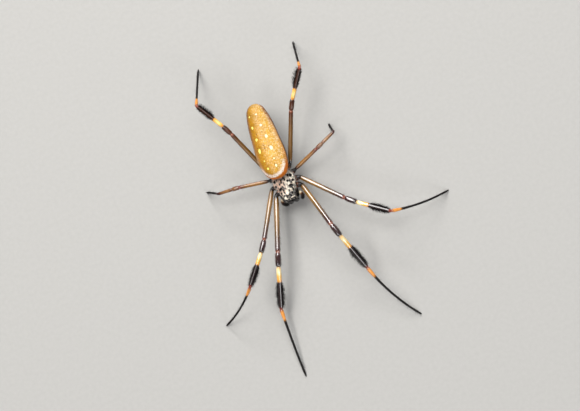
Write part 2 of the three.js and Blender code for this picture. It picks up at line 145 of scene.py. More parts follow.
# Bald black spots in the carapace's silver hair, left side: place along X and Y, half sizes.
BALD_SPOTS = [(2.42, 1.4, 0.42, 0.5), (2.55, 0.0, 0.42, 0.42), (1.5, -1.2, 0.62, 0.5),
              (1.3, 2.5, 0.34, 0.4), (0.5, 1.0, 0.24, 0.5), (1.2, 0.25, 0.24, 0.4),
              (1.75, -2.5, 0.24, 0.6), (0.75, -2.5, 0.22, 0.42), (0.45, -3.85, 0.34, 0.34),
              (1.84, -4.1, 0.36, 0.5), (0.42, -4.72, 0.34, 0.3), (0.0, -0.2, 0.16, 0.7),
              (1.7, 1.6, 0.2, 0.42), (2.05, -0.55, 0.16, 0.3), (1.2, -3.3, 0.2, 0.34),
              (1.12, -4.66, 0.36, 0.24), (2.1, -3.3, 0.14, 0.5)]
# Waves over the carapace, per mm, that thin and thicken its hair in irregular patches.
PATCH_WAVES = [(5.1, 2.3, 0.4), (-3.2, 6.4, 2.1), (7.7, -4.9, 4.0), (-9.1, -5.3, 1.2)]

# The breastplate: place along Y and half width, then height and spread of its rings, downwards.
STERNUM = [(-3.35, 0.55), (-3.15, 0.92), (-2.7, 1.08), (-2.2, 1.16), (-1.3, 1.58), (-0.5, 1.78),
           (0.25, 1.86), (1.1, 1.82), (1.85, 1.7), (2.6, 1.38), (3.25, 0.96), (3.85, 0.42)]
STERNUM_LEVELS = [(7.5, 1.0), (6.8, 1.0), (6.2, 1.0), (5.8, 0.99), (5.5, 0.97), (5.25, 0.93),
                  (5.05, 0.84), (4.93, 0.66), (4.88, 0.34)]
STERNUM_PUSHES = [((0, -2.5, 5.1), (0, 0, 0.14), 0.7), ((0, 0.2, 4.9), (0, 0, -0.08), 1.0),
                  ((0.9, -2.9, 5.2), (0.05, 0, -0.15), 0.6), ((-0.9, -2.9, 5.2), (-0.05, 0, -0.15), 0.6)]

ABDOMEN_FRONT = (-0.22, 1.7, 10.6)
ABDOMEN_TAIL = (0.73, 23.45, 8.3)
ABDOMEN_ROLL = 7
# Share of the length from the tail, half width, height above and depth below the axis.
ABDOMEN = [
    (0.002, 0.4, 0.42, 0.4), (0.008, 0.92, 0.98, 0.8), (0.02, 1.44, 1.45, 1.25),
    (0.04, 1.98, 1.94, 1.7), (0.07, 2.42, 2.38, 2.1), (0.1, 2.68, 2.62, 2.42),
    (0.134, 2.88, 2.83, 2.68), (0.18, 3.14, 3.03, 2.97), (0.23, 3.36, 3.18, 3.17),
    (0.28, 3.52, 3.28, 3.32), (0.33, 3.64, 3.38, 3.43), (0.38, 3.74, 3.49, 3.51),
    (0.43, 3.83, 3.58, 3.58), (0.48, 3.9, 3.66, 3.63), (0.53, 3.98, 3.73, 3.68),
    (0.58, 4.08, 3.81, 3.72), (0.63, 4.17, 3.88, 3.73), (0.68, 4.2, 3.92, 3.68),
    (0.72, 4.19, 3.93, 3.58), (0.76, 4.14, 3.91, 3.35), (0.8, 4.04, 3.83, 3.02),
    (0.84, 3.84, 3.71, 2.52), (0.87, 3.64, 3.57, 2.12), (0.9, 3.37, 3.35, 1.72),
    (0.92, 3.16, 3.16, 1.46), (0.94, 2.9, 2.88, 1.24), (0.96, 2.56, 2.52, 1.02),
    (0.975, 2.16, 2.08, 0.84), (0.985, 1.72, 1.63, 0.68), (0.993, 1.18, 1.13, 0.5),
    (0.998, 0.6, 0.6, 0.3),
]
# Spots on the back: share from the tail and degrees down from the top line, half length and half
# width in mm. Degrees are positive on the animal's own left.
LEFT_SPOTS = [(0.158, 16, 0.24, 0.22), (0.311, 18.6, 0.35, 0.31), (0.468, 24, 0.5, 0.41),
              (0.629, 26.5, 0.61, 0.44), (0.767, 22.7, 0.24, 0.22), (0.861, 22.3, 0.36, 0.3)]
RIGHT_SPOTS = [(0.156, -26, 0.26, 0.24), (0.305, -24, 0.4, 0.33), (0.466, -20.7, 0.42, 0.38),
               (0.615, -23.4, 0.66, 0.4), (0.757, -18, 0.24, 0.22), (0.861, -17.4, 0.34, 0.3)]
# Pits: share from the tail and degrees from the top line. Flecks are told as the spots are.
BACK_PITS = [(0.566, 1), (0.606, 1.5), (0.595, 20), (0.57, -30), (0.827, -12), (0.84, 18),
             (0.4, 14), (0.4, -14)]
FLANK_FLECKS = [(0.2, 74, 0.16, 0.1), (0.3, 76, 0.18, 0.1), (0.42, 66, 0.14, 0.1), (0.53, 64, 0.26, 0.14),
                (0.66, 70, 0.2, 0.12), (0.905, 68, 0.3, 0.18), (0.2, -80, 0.14, 0.09),
                (0.36, -74, 0.16, 0.1), (0.52, -78, 0.18, 0.1), (0.7, -72, 0.16, 0.1)]
# The rounded front of the back is half an oval: where it starts, from the tail, and its half width.
CAP_SHARE = 0.8
CAP_HALF_WIDTH = 3.95

PEDICEL = dict(start=(0, 4.0, 7.3), end=(-0.2, 6.1, 8.5), radius=0.58)
# Rings of the waist: share of its length and of its radius.
PEDICEL_RINGS = [(-0.15, 0.8), (0, 0.98), (0.2, 0.92), (0.4, 0.84), (0.6, 0.84), (0.8, 0.9), (1, 0.98),
                 (1.15, 0.8)]
SPINNERET_SHARE = 0.25    # where the spinnerets stand, from the tail
# Rings of the spinnerets' mound and of one spinneret: place along it and radius.
MOUND_RINGS = [(-0.3, 1.0), (0, 1.1), (0.3, 1.1), (0.55, 1.02), (0.75, 0.85), (0.88, 0.6), (0.93, 0.3)]
SPINNERET_RINGS = [(0, 0.36), (0.3, 0.37), (0.62, 0.34), (0.66, 0.28), (0.72, 0.29), (0.98, 0.24),
                   (1.12, 0.16), (1.18, 0.06)]
# Each spinneret's place on the mound, sideways and toward the tail, and its size.
SPINNERETS = [(0.42, -0.35, 1.0), (-0.42, -0.35, 1.0), (0.4, 0.4, 0.92), (-0.4, 0.4, 0.92),
              (0.0, 0.86, 0.55)]
# Jaws, fangs and feelers on the animal's left: points down their middle, and radii there.
CHELICERA_PATH = [(0.83, -4.2, 8.0), (0.85, -4.62, 7.5), (0.87, -4.94, 6.8), (0.86, -5.05, 6.0),
                  (0.8, -5.02, 5.1), (0.72, -4.86, 4.35), (0.68, -4.73, 4.05)]
CHELICERA_RADII = [0.55, 0.73, 0.77, 0.77, 0.69, 0.52, 0.3]
FANG = dict(start=(0.7, -4.77, 4.2), end=(0.2, -4.12, 3.75), bow=(0, -0.18, -0.22), radius=0.2)
PALP_PATH = [(1.42, -3.15, 5.7), (2.05, -3.42, 6.4), (2.65, -3.86, 6.85), (2.98, -4.5, 6.7),
             (2.85, -5.0, 5.95), (2.53, -5.22, 5.1), (2.25, -5.25, 4.4), (2.15, -5.22, 4.1)]
PALP_RADII = [0.36, 0.42, 0.42, 0.42, 0.4, 0.38, 0.32, 0.2]
PALP_JOINTS = (1.0, 3.0, 4.0, 5.2)    # counted in points of the path
EYES = {"front_middle": (0.42, -4.74, 9.62), "rear_middle": (0.45, -3.85, 10.24),
        "front_side": (1.78, -4.45, 9.42), "rear_side": (1.86, -3.95, 9.68)}
EYE_DOME = 0.19    # radius
HEAD_CENTRE = (0, -3.4, 8.6)    # the eyes look away from it

# --------------------------------------------------------------- small helpers


def mirrored(point, side):
    """A point in millimetres on its own side of the animal."""
    x, y, z = point
    return Vector((x if side == "left" else -x, y, z))


def place(point, side="left"):
    """A place in the part's own millimetres, mirrored for the right side, in metres."""
    return mirrored(point, side) * MM + SHIFT


def in_mm(spots):
    """Places in metres, back in the part's own millimetres."""
    return (spots - np.array(SHIFT)) / MM


def linked(name, data):
    """A new object of some data, put in the scene."""
    shape = bpy.data.objects.new(name, data)
    bpy.context.collection.objects.link(shape)
    return shape


def start_alone():
    """Leave edit mode and select nothing, so that an operator acts only on what comes next."""
    if bpy.context.object and bpy.context.object.mode != "OBJECT":
        bpy.ops.object.mode_set(mode="OBJECT")
    bpy.ops.object.select_all(action="DESELECT")


def take(shape):
    """Make one shape the selected and active one."""
    start_alone()
    shape.select_set(True)
    bpy.context.view_layer.objects.active = shape


def edit_all(kind="FACE"):
    """Edit the active shape by its faces or vertices, with all of it selected."""
    bpy.ops.object.mode_set(mode="EDIT")
    bpy.ops.mesh.select_mode(type=kind)
    bpy.ops.mesh.select_all(action="SELECT")


def pick(test):
    """In edit mode, select the vertices whose number and place pass the test."""
    mesh = bmesh.from_edit_mesh(bpy.context.object.data)
    for face in mesh.faces:
        face.select_set(False)
    for vertex in mesh.verts:
        vertex.select_set(bool(test(vertex.index, vertex.co)))
    mesh.select_flush(True)
    bmesh.update_edit_mesh(bpy.context.object.data)


def extrude(step):
    bpy.ops.mesh.extrude_region_move(TRANSFORM_OT_translate={"value": step})


def move(step):
    bpy.ops.transform.translate(value=step)


def resize(scale, centre=MIDDLE):
    bpy.ops.transform.resize(value=scale, center_override=centre)


def turn(rotation, centre=MIDDLE):
    """Turn what is selected about a centre. With no window the operator turns the other way."""
    for axis, angle in zip("XYZ", rotation.to_euler("XYZ")):
        if abs(angle) > 1e-7:
            bpy.ops.transform.rotate(value=-angle, orient_axis=axis, center_override=centre)


def first_ring(name, radius, sides):
    """A disc square to Y, from which a form is grown by extruding its face."""
    start_alone()
    bpy.ops.mesh.primitive_circle_add(vertices=sides, radius=radius, fill_type="NGON",
                                      rotation=(math.radians(90), 0, 0))
    shape = bpy.context.object
    shape.name = shape.data.name = name
    bpy.ops.object.transform_apply(location=True, rotation=True, scale=True)
    edit_all()
    return shape


def stretch_halves(over, under):
    """Scale the upper and the lower half of a first ring in height."""
    bpy.ops.mesh.select_mode(type="VERT")
    pick(lambda number, at: at.z > 1e-9)
    resize((1, 1, over))
    pick(lambda number, at: at.z < -1e-9)
    resize((1, 1, under))
    bpy.ops.mesh.select_all(action="SELECT")


def settle(piece, slot, material, *nodes):
    """Paint a piece and give it to the frame's root body, hiding the nodes it stands for. The slot is not
    used.
    """
    piece.data.materials.append(material)
    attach(piece, "root")
    if nodes:
        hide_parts(*nodes)


def join(shapes, name):
    """Make several shapes one."""
    take(shapes[0])
    for shape in shapes:
        shape.select_set(True)
    bpy.ops.object.join()
    shapes[0].name = shapes[0].data.name = name
    return shapes[0]


# ---------------------------------------------------------------- shader nodes

# Colours by their screen values, 0 to 255.
TAN = (158, 104, 78)
SALMON = (232, 160, 126)
BLACK = (16, 11, 9)
OLIVE = (108, 76, 34)
OLIVE_PALE = (142, 104, 52)
UMBER = (70, 42, 24)
CHESTNUT = (74, 38, 20)
COPPER = (92, 48, 24)
WINE = (58, 20, 16)
RED = (126, 44, 30)
BLUSH = (150, 84, 58)
CREAM = (250, 224, 166)
YELLOW = (240, 186, 84)
ORANGE = (220, 144, 62)


def srgb(red, green, blue):
    """A colour named by its 0 to 255 screen values, as the linear colour a shader wants."""
    def linear(value):
        value /= 255
        return value / 12.92 if value <= 0.04045 else ((value + 0.055) / 1.055) ** 2.4
    return (linear(red), linear(green), linear(blue))


class Nodes:
    """A short way to write a node tree: most calls add a node and return its output."""

    def __init__(self, tree):
        self.tree = tree

    def feed(self, socket, value):
        """Link another node's output to a socket, or set the socket's own value."""
        if isinstance(value, bpy.types.NodeSocket):
            self.tree.links.new(value, socket)
        elif socket.type == "RGBA":
            socket.default_value = (*value, 1)
        else:
            socket.default_value = value

    def add(self, kind, values, **settings):
        node = self.tree.nodes.new(kind)
        for key, value in settings.items():
            setattr(node, key, value)
        for key, value in values.items():
            self.feed(node.inputs[key], value)
        return node

    def math(self, operation, a, b=0.0, clamp=False):
        return self.add("ShaderNodeMath", {0: a, 1: b}, operation=operation,
                        use_clamp=clamp).outputs[0]

    def plus(self, a, b, clamp=False):
        return self.math("ADD", a, b, clamp)

    def minus(self, a, b):
        return self.math("SUBTRACT", a, b)

    def times(self, a, b):
        return self.math("MULTIPLY", a, b)

    def span(self, value, low=0.0, high=1.0, to_low=0.0, to_high=1.0):
        """Stretch one range of a value to another and keep it inside."""
        return self.add("ShaderNodeMapRange", {
            "Value": value, "From Min": low, "From Max": high, "To Min": to_low,
            "To Max": to_high}).outputs["Result"]

    def vector(self, operation, a, b):
        return self.add("ShaderNodeVectorMath", {0: a, 1: b}, operation=operation).outputs[0]

    def dot(self, a, b):
        return self.add("ShaderNodeVectorMath", {0: a, 1: b},
                        operation="DOT_PRODUCT").outputs["Value"]

    def split(self, vector):
        return self.add("ShaderNodeSeparateXYZ", {0: vector}).outputs

    def uv(self, map_name):
        return self.add("ShaderNodeUVMap", {}, uv_map=map_name).outputs["UV"]

    def mix(self, share, a, b, blend="MIX"):
        return self.add("ShaderNodeMix", {0: share, 6: a, 7: b}, data_type="RGBA",
                        blend_type=blend).outputs[2]

    def shade(self, colour, tone):
        """A colour times a grey tone."""
        return self.mix(1.0, colour, tone, "MULTIPLY")

    def noise(self, vector, scale, detail=3.0, rough=0.55):
        return self.add("ShaderNodeTexNoise", {"Vector": vector, "Scale": scale, "Detail": detail,
                                               "Roughness": rough}).outputs["Fac"]

    def wander(self, place_on, scale, reach):
        """A value that strays irregularly either way by up to half the reach."""
        return self.times(self.minus(self.noise(place_on, scale), 0.5), reach)

    def sway(self, place_on, scale, reach):
        """As wander, for both ways of a flat map."""
        noise = self.add("ShaderNodeTexNoise", {"Vector": place_on, "Scale": scale,
                                                "Detail": 2.0}).outputs["Color"]
        return self.vector("MULTIPLY", self.vector("SUBTRACT", noise, (0.5, 0.5, 0.5)),
                           (reach, reach, 0.0))

    def ramp(self, value, *stops):
        """A colour ramp. A stop is a place and a linear colour, or a place and a grey."""
        node = self.add("ShaderNodeValToRGB", {"Fac": value})
        elements = node.color_ramp.elements
        while len(elements) < len(stops):
            elements.new(0.5)
        for element, (where, colour) in zip(elements, stops):
            element.position = where
            element.color = (*colour, 1) if isinstance(colour, tuple) else (colour, colour, colour, 1)
        return node.outputs["Color"]

    def tints(self, value, *stops):
        """A colour ramp. A stop is a place and the three screen values of its colour."""
        return self.ramp(value, *((where, srgb(*colour)) for where, *colour in stops))

    def group(self, group, values):
        return self.add("ShaderNodeGroup", values, node_tree=group).outputs

    def specks(self, place_on, scale, amount, softness):
        return self.group(SPECKS, {"Place": place_on, "Scale": scale, "Amount": amount,
                                   "Softness": softness})["Mask"]

    def horn(self, place_on, fineness, polish):
        return self.group(HORN, {"Place": place_on, "Fineness": fineness, "Polish": polish})

    def marks(self, map_on, ovals, softness):
        """One mask for several ovals: each has its place and half sizes, along and across."""
        masks = [self.group(MARK, {"Map": map_on, "Along": along, "Across": across,
                                   "Half Length": half_length, "Half Width": half_width,
                                   "Softness": softness})["Mask"]
                 for along, across, half_length, half_width in ovals]
        return functools.reduce(functools.partial(self.math, "MAXIMUM"), masks)

    def bump(self, height, strength, distance):
        """The height's relief; the distance is in mm."""
        return self.add("ShaderNodeBump", {"Height": height, "Strength": strength,
                                           "Distance": distance * MM}).outputs["Normal"]

    def shader(self, **values):
        """Set the sockets of the material's Principled BSDF by name, with _ for a space."""
        for key, value in values.items():
            self.feed(self.tree.nodes["Principled BSDF"].inputs[key.replace("_", " ")], value)


def make_group(name, inputs, outputs):
    """An empty shader group: it, its writer, its inputs and the sockets of its output node.

    An input that has no value is a vector; all else in a group is a plain number.
    """
    group = bpy.data.node_groups.new(name, "ShaderNodeTree")
    for key, value in inputs.items():
        kind = "NodeSocketVector" if value is None else "NodeSocketFloat"
        socket = group.interface.new_socket(name=key, in_out="INPUT", socket_type=kind)
        if value is not None:
            socket.default_value = value
    for key in outputs:
        group.interface.new_socket(name=key, in_out="OUTPUT", socket_type="NodeSocketFloat")
    start = group.nodes.new("NodeGroupInput")
    end = group.nodes.new("NodeGroupOutput")
    return group, Nodes(group), start.outputs, end.inputs


def speckle_group():
    """Fine irregular specks: a mask whose share of the surface is set by Amount."""
    group, write, given, end = make_group(
        "skin_specks", {"Place": None, "Scale": 3000.0, "Amount": 0.5, "Softness": 0.1}, ["Mask"])
    grain = write.noise(given["Place"], given["Scale"], 2.0, 0.6)
    edge = write.minus(1.0, given["Amount"])
    write.feed(end["Mask"], write.span(grain, write.minus(edge, given["Softness"]),
                                       write.plus(edge, given["Softness"])))
    return group


def mark_group():
    """A soft-edged oval mark at a place on a form's own map."""
    group, write, given, end = make_group(
        "oval_mark", {"Map": None, "Along": 0.0, "Across": 0.0, "Half Length": 0.5,
                      "Half Width": 0.4, "Softness": 0.2}, ["Mask"])
    parts = write.split(given["Map"])
    along = write.math("DIVIDE", write.minus(parts["Y"], given["Along"]), given["Half Length"])
    across = write.math("DIVIDE", write.minus(parts["X"], given["Across"]), given["Half Width"])
    reach = write.math("SQRT", write.plus(write.times(along, along), write.times(across, across)))
    write.feed(end["Mask"], write.span(reach, write.minus(1.0, given["Softness"]),
                                       write.plus(1.0, given["Softness"]), 1.0, 0.0))
    return group


def horn_group():
    """The living surface of horn: shallow pores and ripples as height, and uneven polish."""
    group, write, given, end = make_group(
        "horn_surface", {"Place": None, "Fineness": 1.0, "Polish": 0.25},
        ["Height", "Roughness", "Tone"])
    pores = write.add("ShaderNodeTexVoronoi", {
        "Vector": given["Place"], "Scale": write.times(given["Fineness"], 9000.0)},
        feature="F1").outputs["Distance"]
    ripple = write.noise(given["Place"], write.times(given["Fineness"], 2600.0), 4.0)
    patches = write.noise(given["Place"], write.times(given["Fineness"], 700.0))
    write.feed(end["Height"], write.plus(write.times(pores, 0.5), ripple))
    write.feed(end["Roughness"], write.plus(given["Polish"], write.times(write.minus(patches, 0.5), 0.2)))
    write.feed(end["Tone"], patches)
    return group


SPECKS = speckle_group()
MARK = mark_group()
HORN = horn_group()

# ----------------------------------------------------------- general materials


def new_material(name):
    """A material, the writer of its nodes, and the object's own coordinates in it."""
    material = bpy.data.materials.new(name)
    material.use_nodes = True
    write = Nodes(material.node_tree)
    return material, write, write.add("ShaderNodeTexCoord", {}).outputs["Object"]


def horn_material(name, colour, fineness, polish, strength, distance=0.03, **values):
    """Marked horn, with pores and an uneven polish."""
    material, write, place_on = new_material(name)
    horn = write.horn(place_on, fineness, polish)
    write.shader(Base_Color=colour(write, place_on), Roughness=horn["Roughness"],
                 Normal=write.bump(horn["Height"], strength, distance), **values)
    return material


def plain_horn(name, colour, second, polish, coat=0.3, fineness=1.0, strength=0.35):
    """Horn in two wandering tones, with pores and an uneven polish."""
    material, write, place_on = new_material(name)
    horn = write.horn(place_on, fineness, polish)
    write.shader(Base_Color=write.mix(write.span(horn["Tone"], 0.35, 0.65), colour, second),
                 Roughness=horn["Roughness"], Coat_Weight=coat, Coat_Roughness=0.15,
                 Normal=write.bump(horn["Height"], strength, 0.03))
    return material


def marked_hair(name, colour, share, toward, rough=0.5, shine=0.3):
    """Hair with the markings of the skin under it, drawn part of the way toward one colour."""
    material, write, place_on = new_material(name)
    tone = write.span(write.noise(place_on, 2200.0, 2.0), 0.3, 0.7, 0.8, 1.15)
    base = write.mix(share, colour(write, place_on), toward)
    write.shader(Base_Color=write.shade(base, tone), Roughness=rough, Specular_IOR_Level=shine)
    return material


def dark_hair(name, dark, light, rough, shine):
    """Plain hair between two tones, in fine and in broad patches."""
    material, write, place_on = new_material(name)
    fine = write.noise(place_on, 2200.0, 2.0)
    broad = write.noise(place_on, 420.0, 2.0)
    share = write.plus(write.times(fine, 0.65), write.times(broad, 0.5), clamp=True)
    write.shader(Base_Color=write.mix(write.span(share, 0.3, 0.8), dark, light), Roughness=rough,
                 Specular_IOR_Level=shine)
    return material


# -------------------------------------------------------- the legs' materials

YELLOW_END = 0.335    # share of the shin where its yellow band ends
# How much of the full wet polish each pair of legs has.
LEG_POLISH = {1: 1.0, 2: 0.85, 3: 0.34, 4: 0.17}

HIP_BANDS = [("coxa", 0.0, SALMON), ("coxa", 0.4, SALMON), ("coxa", 0.66, TAN),
             ("coxa", 0.74, BLACK), ("femur", 0.03, BLACK)]
SHORT_LEG_BANDS = [
    ("femur", 0.07, UMBER), ("femur", 0.3, (138, 94, 38)), ("femur", 0.75, (132, 88, 38)),
    ("femur", 0.96, COPPER), ("patella", 0.0, RED), ("patella", 0.1, COPPER),
    ("patella", 0.9, (122, 80, 40)), ("tibia", 0.03, (104, 60, 32)), ("tibia", 0.3, (146, 106, 66)),
    ("tibia", 0.8, (112, 70, 40)), ("tibia", 0.93, WINE), ("metatarsus", 0.06, WINE),
    ("metatarsus", 0.16, BLACK)]
FRONT_LEG_BANDS = [
    ("femur", 0.06, OLIVE), ("femur", 0.3, OLIVE_PALE), ("femur", 0.62, OLIVE), ("femur", 0.82, UMBER),
    ("femur", 0.96, WINE), ("patella", 0.0, BLUSH), ("patella", 0.045, WINE),
    ("patella", 0.5, (44, 14, 10)), ("patella", 0.95, (30, 12, 9)), ("tibia", 0.02, (240, 196, 130)),
    ("tibia", 0.05, CREAM), ("tibia", 0.12, CREAM), ("tibia", 0.2, YELLOW),
    ("tibia", 0.29, (236, 172, 66))]
REAR_LEG_BANDS = [
    ("femur", 0.06, OLIVE), ("femur", 0.35, (106, 74, 32)), ("femur", 0.6, (106, 74, 32)),
    ("femur", 0.82, (90, 58, 26)), ("femur", 0.96, CHESTNUT), ("patella", 0.0, BLUSH),
    ("patella", 0.045, CHESTNUT), ("patella", 0.5, (78, 42, 22)), ("patella", 0.95, (50, 26, 16)),
    ("tibia", 0.02, ORANGE), ("tibia", 0.08, YELLOW), ("tibia", 0.18, (244, 204, 130)),
    ("tibia", 0.27, YELLOW)]


def along_leg(segment, share):
    """The V of a place on the leg's map."""
    return (SEGMENTS.index(segment) + share) / len(SEGMENTS)


def leg_bands(pair):
    """Colour stops down the leg, from the hip to the claws."""
    if pair == 3:
        bands = HIP_BANDS + SHORT_LEG_BANDS
    else:
        brushed = (54, 30, 18) if pair == 4 else (34, 20, 19)
        bands = HIP_BANDS + (REAR_LEG_BANDS if pair == 4 else FRONT_LEG_BANDS) + [
            ("tibia", YELLOW_END, ORANGE), ("tibia", YELLOW_END + 0.02, brushed),
            ("tibia", 0.93, brushed), ("tibia", 0.975, RED), ("metatarsus", 0.02, BLUSH),
            ("metatarsus", 0.05, ORANGE), ("metatarsus", 0.18, ORANGE), ("metatarsus", 0.22, BLACK)]
    return [(along_leg(segment, share), *colour) for segment, share, colour in bands]


def leg_colour(write, place_on, pair, map_name):
    """The leg's bands and the mottling of its hip, for the shell and for the hair over it."""
    v = write.split(write.uv(map_name))["Y"]
    base = write.tints(write.plus(v, write.wander(place_on, 1500.0, 0.006)), *leg_bands(pair))
    hip = write.math("LESS_THAN", v, along_leg("coxa", 0.72))
    mottling = write.times(write.specks(place_on, 1700.0, 0.54, 0.03), hip)
    return write.mix(mottling, base, srgb(*BLACK))


def leg_shell(pair):
    """Horn in bands with a wet polish, dull on the feet and on the mottled hips."""
    material, write, place_on = new_material(f"leg_shell_{pair}")
    base = leg_colour(write, place_on, pair, "LegMap")
    horn = write.horn(place_on, 0.8, 0.15)
    v = write.split(write.uv("LegMap"))["Y"]
    foot = write.ramp(v, (along_leg("metatarsus", 0.1), 0), (along_leg("metatarsus", 0.25), 1))
    wet = LEG_POLISH[pair]
    coat = write.ramp(v, *((along_leg(segment, share), polish) for segment, share, polish in (
        ("coxa", 0.7, 0.15), ("coxa", 0.8, 0.28), ("femur", 0.03, 0.28), ("femur", 0.07, wet),
        ("tibia", YELLOW_END, wet), ("tibia", YELLOW_END + 0.03, 0.5 * wet),
        ("metatarsus", 0.1, 0.5 * wet), ("metatarsus", 0.25, 0))))
    write.shader(Base_Color=write.shade(base, write.span(horn["Tone"], to_low=0.75, to_high=1.22)),
                 Roughness=write.plus(horn["Roughness"], write.times(foot, 0.45), clamp=True),
                 Coat_Weight=coat, Coat_Roughness=0.14, Coat_IOR=2.0, IOR=1.5,
                 Specular_IOR_Level=0.3, Normal=write.bump(horn["Height"], 0.08, 0.02))
    return material


# ------------------------------------------------------- tubes grown on a path


def heading(turning, slope, side):
    """A unit way from a turn away from straight ahead and a slope above level."""
    t, s = math.radians(turning), math.radians(slope)
    return mirrored((math.sin(t) * math.cos(s), -math.cos(t) * math.cos(s), math.sin(s)), side)


def foot_line(ankle, length, turns, slope, side, steps=24):
    """The foot's line in millimetres: it turns evenly from its first heading to its last."""
    points = [ankle.copy()]
    for i in range(steps):
        share = (i + 0.5) / steps
        turning = turns[0] + (turns[1] - turns[0]) * share
        step = heading(turning, slope - FOOT_BOW * (share - 0.5), side)
        points.append(points[-1] + step * (length / steps))
    return points


def foot_to_floor(ankle, length, turns, side):
    """The foot's line with the slope that rests its tip on the floor, found by halving."""
    low, high = -88.0, 20.0
    for _ in range(40):
        slope = (low + high) / 2
        if foot_line(ankle, length, turns, slope, side)[-1].z < FOOT_TIP_HEIGHT:
            low = slope
        else:
            high = slope
    return foot_line(ankle, length, turns, (low + high) / 2, side)


def point_on(line, share):
    """The place at a share of an even line's length."""
    at = min(max(share, 0.0), 1.0) * (len(line) - 1)
    i = min(int(at), len(line) - 2)
    return line[i].lerp(line[i + 1], at - i)


def catmull(points, at):
    """A smooth curve through points, read at a place counted in points."""
    k = min(int(at), len(points) - 2)
    t = at - k
    p1, p2 = points[k], points[k + 1]
    p0 = points[k - 1] if k else p1 * 2 - p2
    p3 = points[k + 2] if k + 2 < len(points) else p2 * 2 - p1
    return ((p1 * 2) + (p2 - p0) * t + (p0 * 2 - p1 * 5 + p2 * 4 - p3) * t * t
            + (p1 * 3 - p0 - p2 * 3 + p3) * t * t * t) / 2


def frame_of(way, up=UP):
    """Turns straight ahead, -Y, into a way, with the top as near to up as it goes."""
    side = way.cross(up).normalized()
    top = side.cross(way).normalized()
    return Matrix((-side, -way, top)).transposed()


def grow_tube(name, path, radii, sides, tall=1.0, up=UP):
    """A closed tube grown from a disc along a path, in metres; each ring halves the bend there."""
    steps = [(b - a).normalized() for a, b in zip(path, path[1:])]
    ways = [steps[0]] + [(a + b).normalized() for a, b in zip(steps, steps[1:])] + [steps[-1]]
    shape = first_ring(name, radii[0], sides)
    resize((1, 1, tall))
    turn(frame_of(ways[0], up))
    move(path[0])
    for i in range(1, len(path)):
        extrude(path[i] - path[i - 1])
        turn(ways[i - 1].rotation_difference(ways[i]).to_matrix(), path[i])
        resize([radii[i] / radii[i - 1]] * 3, path[i])
    return shape


def rings_of(shape, sides):
    """The form's vertices as an array of rings, in metres."""
    flat = np.empty(len(shape.data.vertices) * 3)
    shape.data.vertices.foreach_get("co", flat)
    return flat.reshape(-1, sides, 3)


def close_form(shape, sides, along, map_name="FormMap", levels=1):
    """Turn faces outwards, map the rings, round the form; returns its rings before rounding.

    On the map U runs round the form and V is the value given for each ring.
    """
    bpy.ops.mesh.select_all(action="SELECT")
    bpy.ops.mesh.normals_make_consistent(inside=False)
    bpy.ops.object.mode_set(mode="OBJECT")
    rings = rings_of(shape, sides)
    layer = shape.data.uv_layers.new(name=map_name)
    for face in shape.data.polygons:
        turns = [(shape.data.loops[i].vertex_index + sides // 2) % sides for i in face.loop_indices]
        wraps = max(turns) - min(turns) > sides / 2 and len(turns) < sides
        for i, step in zip(face.loop_indices, turns):
            ring = shape.data.loops[i].vertex_index // sides
            u = (step + sides if wraps and step < sides / 2 else step) / sides
            layer.data[i].uv = (u, along[ring])
    take(shape)
    rounding = shape.modifiers.new("rounding", "SUBSURF")
    rounding.levels = rounding.render_levels = levels
    bpy.ops.object.modifier_apply(modifier=rounding.name)
    shape.data.shade_smooth()
    return rings


def push(shape, spots):
    """Move what lies near each place on a form, with a soft edge: centre, step and reach in mm."""
    take(shape)
    edit_all("VERT")
    for centre, step, reach in spots:
        middle = place(centre)
        vertices = bmesh.from_edit_mesh(shape.data).verts
        nearest = min(vertices, key=lambda vertex: (vertex.co - middle).length_squared).index
        pick(lambda number, at: number == nearest)
        bpy.ops.transform.translate(value=Vector(step) * MM, use_proportional_edit=True,
                                    proportional_edit_falloff="SMOOTH", proportional_size=reach * MM)
    bpy.ops.object.mode_set(mode="OBJECT")


# ------------------------------------------------------------------------ hair

# A hair is a cone in two parts: its root, its middle and its tip, seven corners in all.
STRAND_FACES = np.array([(0, 2, 1), (0, 1, 4), (0, 4, 3), (1, 2, 5), (1, 5, 4), (2, 0, 3), (2, 3, 5),
                         (3, 4, 6), (4, 5, 6), (5, 3, 6)])
STRAND_TURNS = np.radians([90.0, 210.0, 330.0])
STRAND_CORNERS = 7
MIDDLE_WIDTH = 0.8    # of the width at the root
FLOOR_GAP = 0.01      # mm between the lowest hair and the floor
ROOT_DEPTH = 0.02     # mm of a hair's root under the skin
# Each hair has a small patch of the map of the skin under it, and these places in the patch.
PATCH = 0.003
PATCH_CORNERS = np.array([(-0.5, -0.5), (0.5, -0.5), (0.0, -0.4), (-0.4, 0.1), (0.4, 0.1),
                          (0.0, 0.0), (0.0, 0.5)])


def normed(vectors):
    return vectors / np.maximum(np.linalg.norm(vectors, axis=-1, keepdims=True), 1e-12)


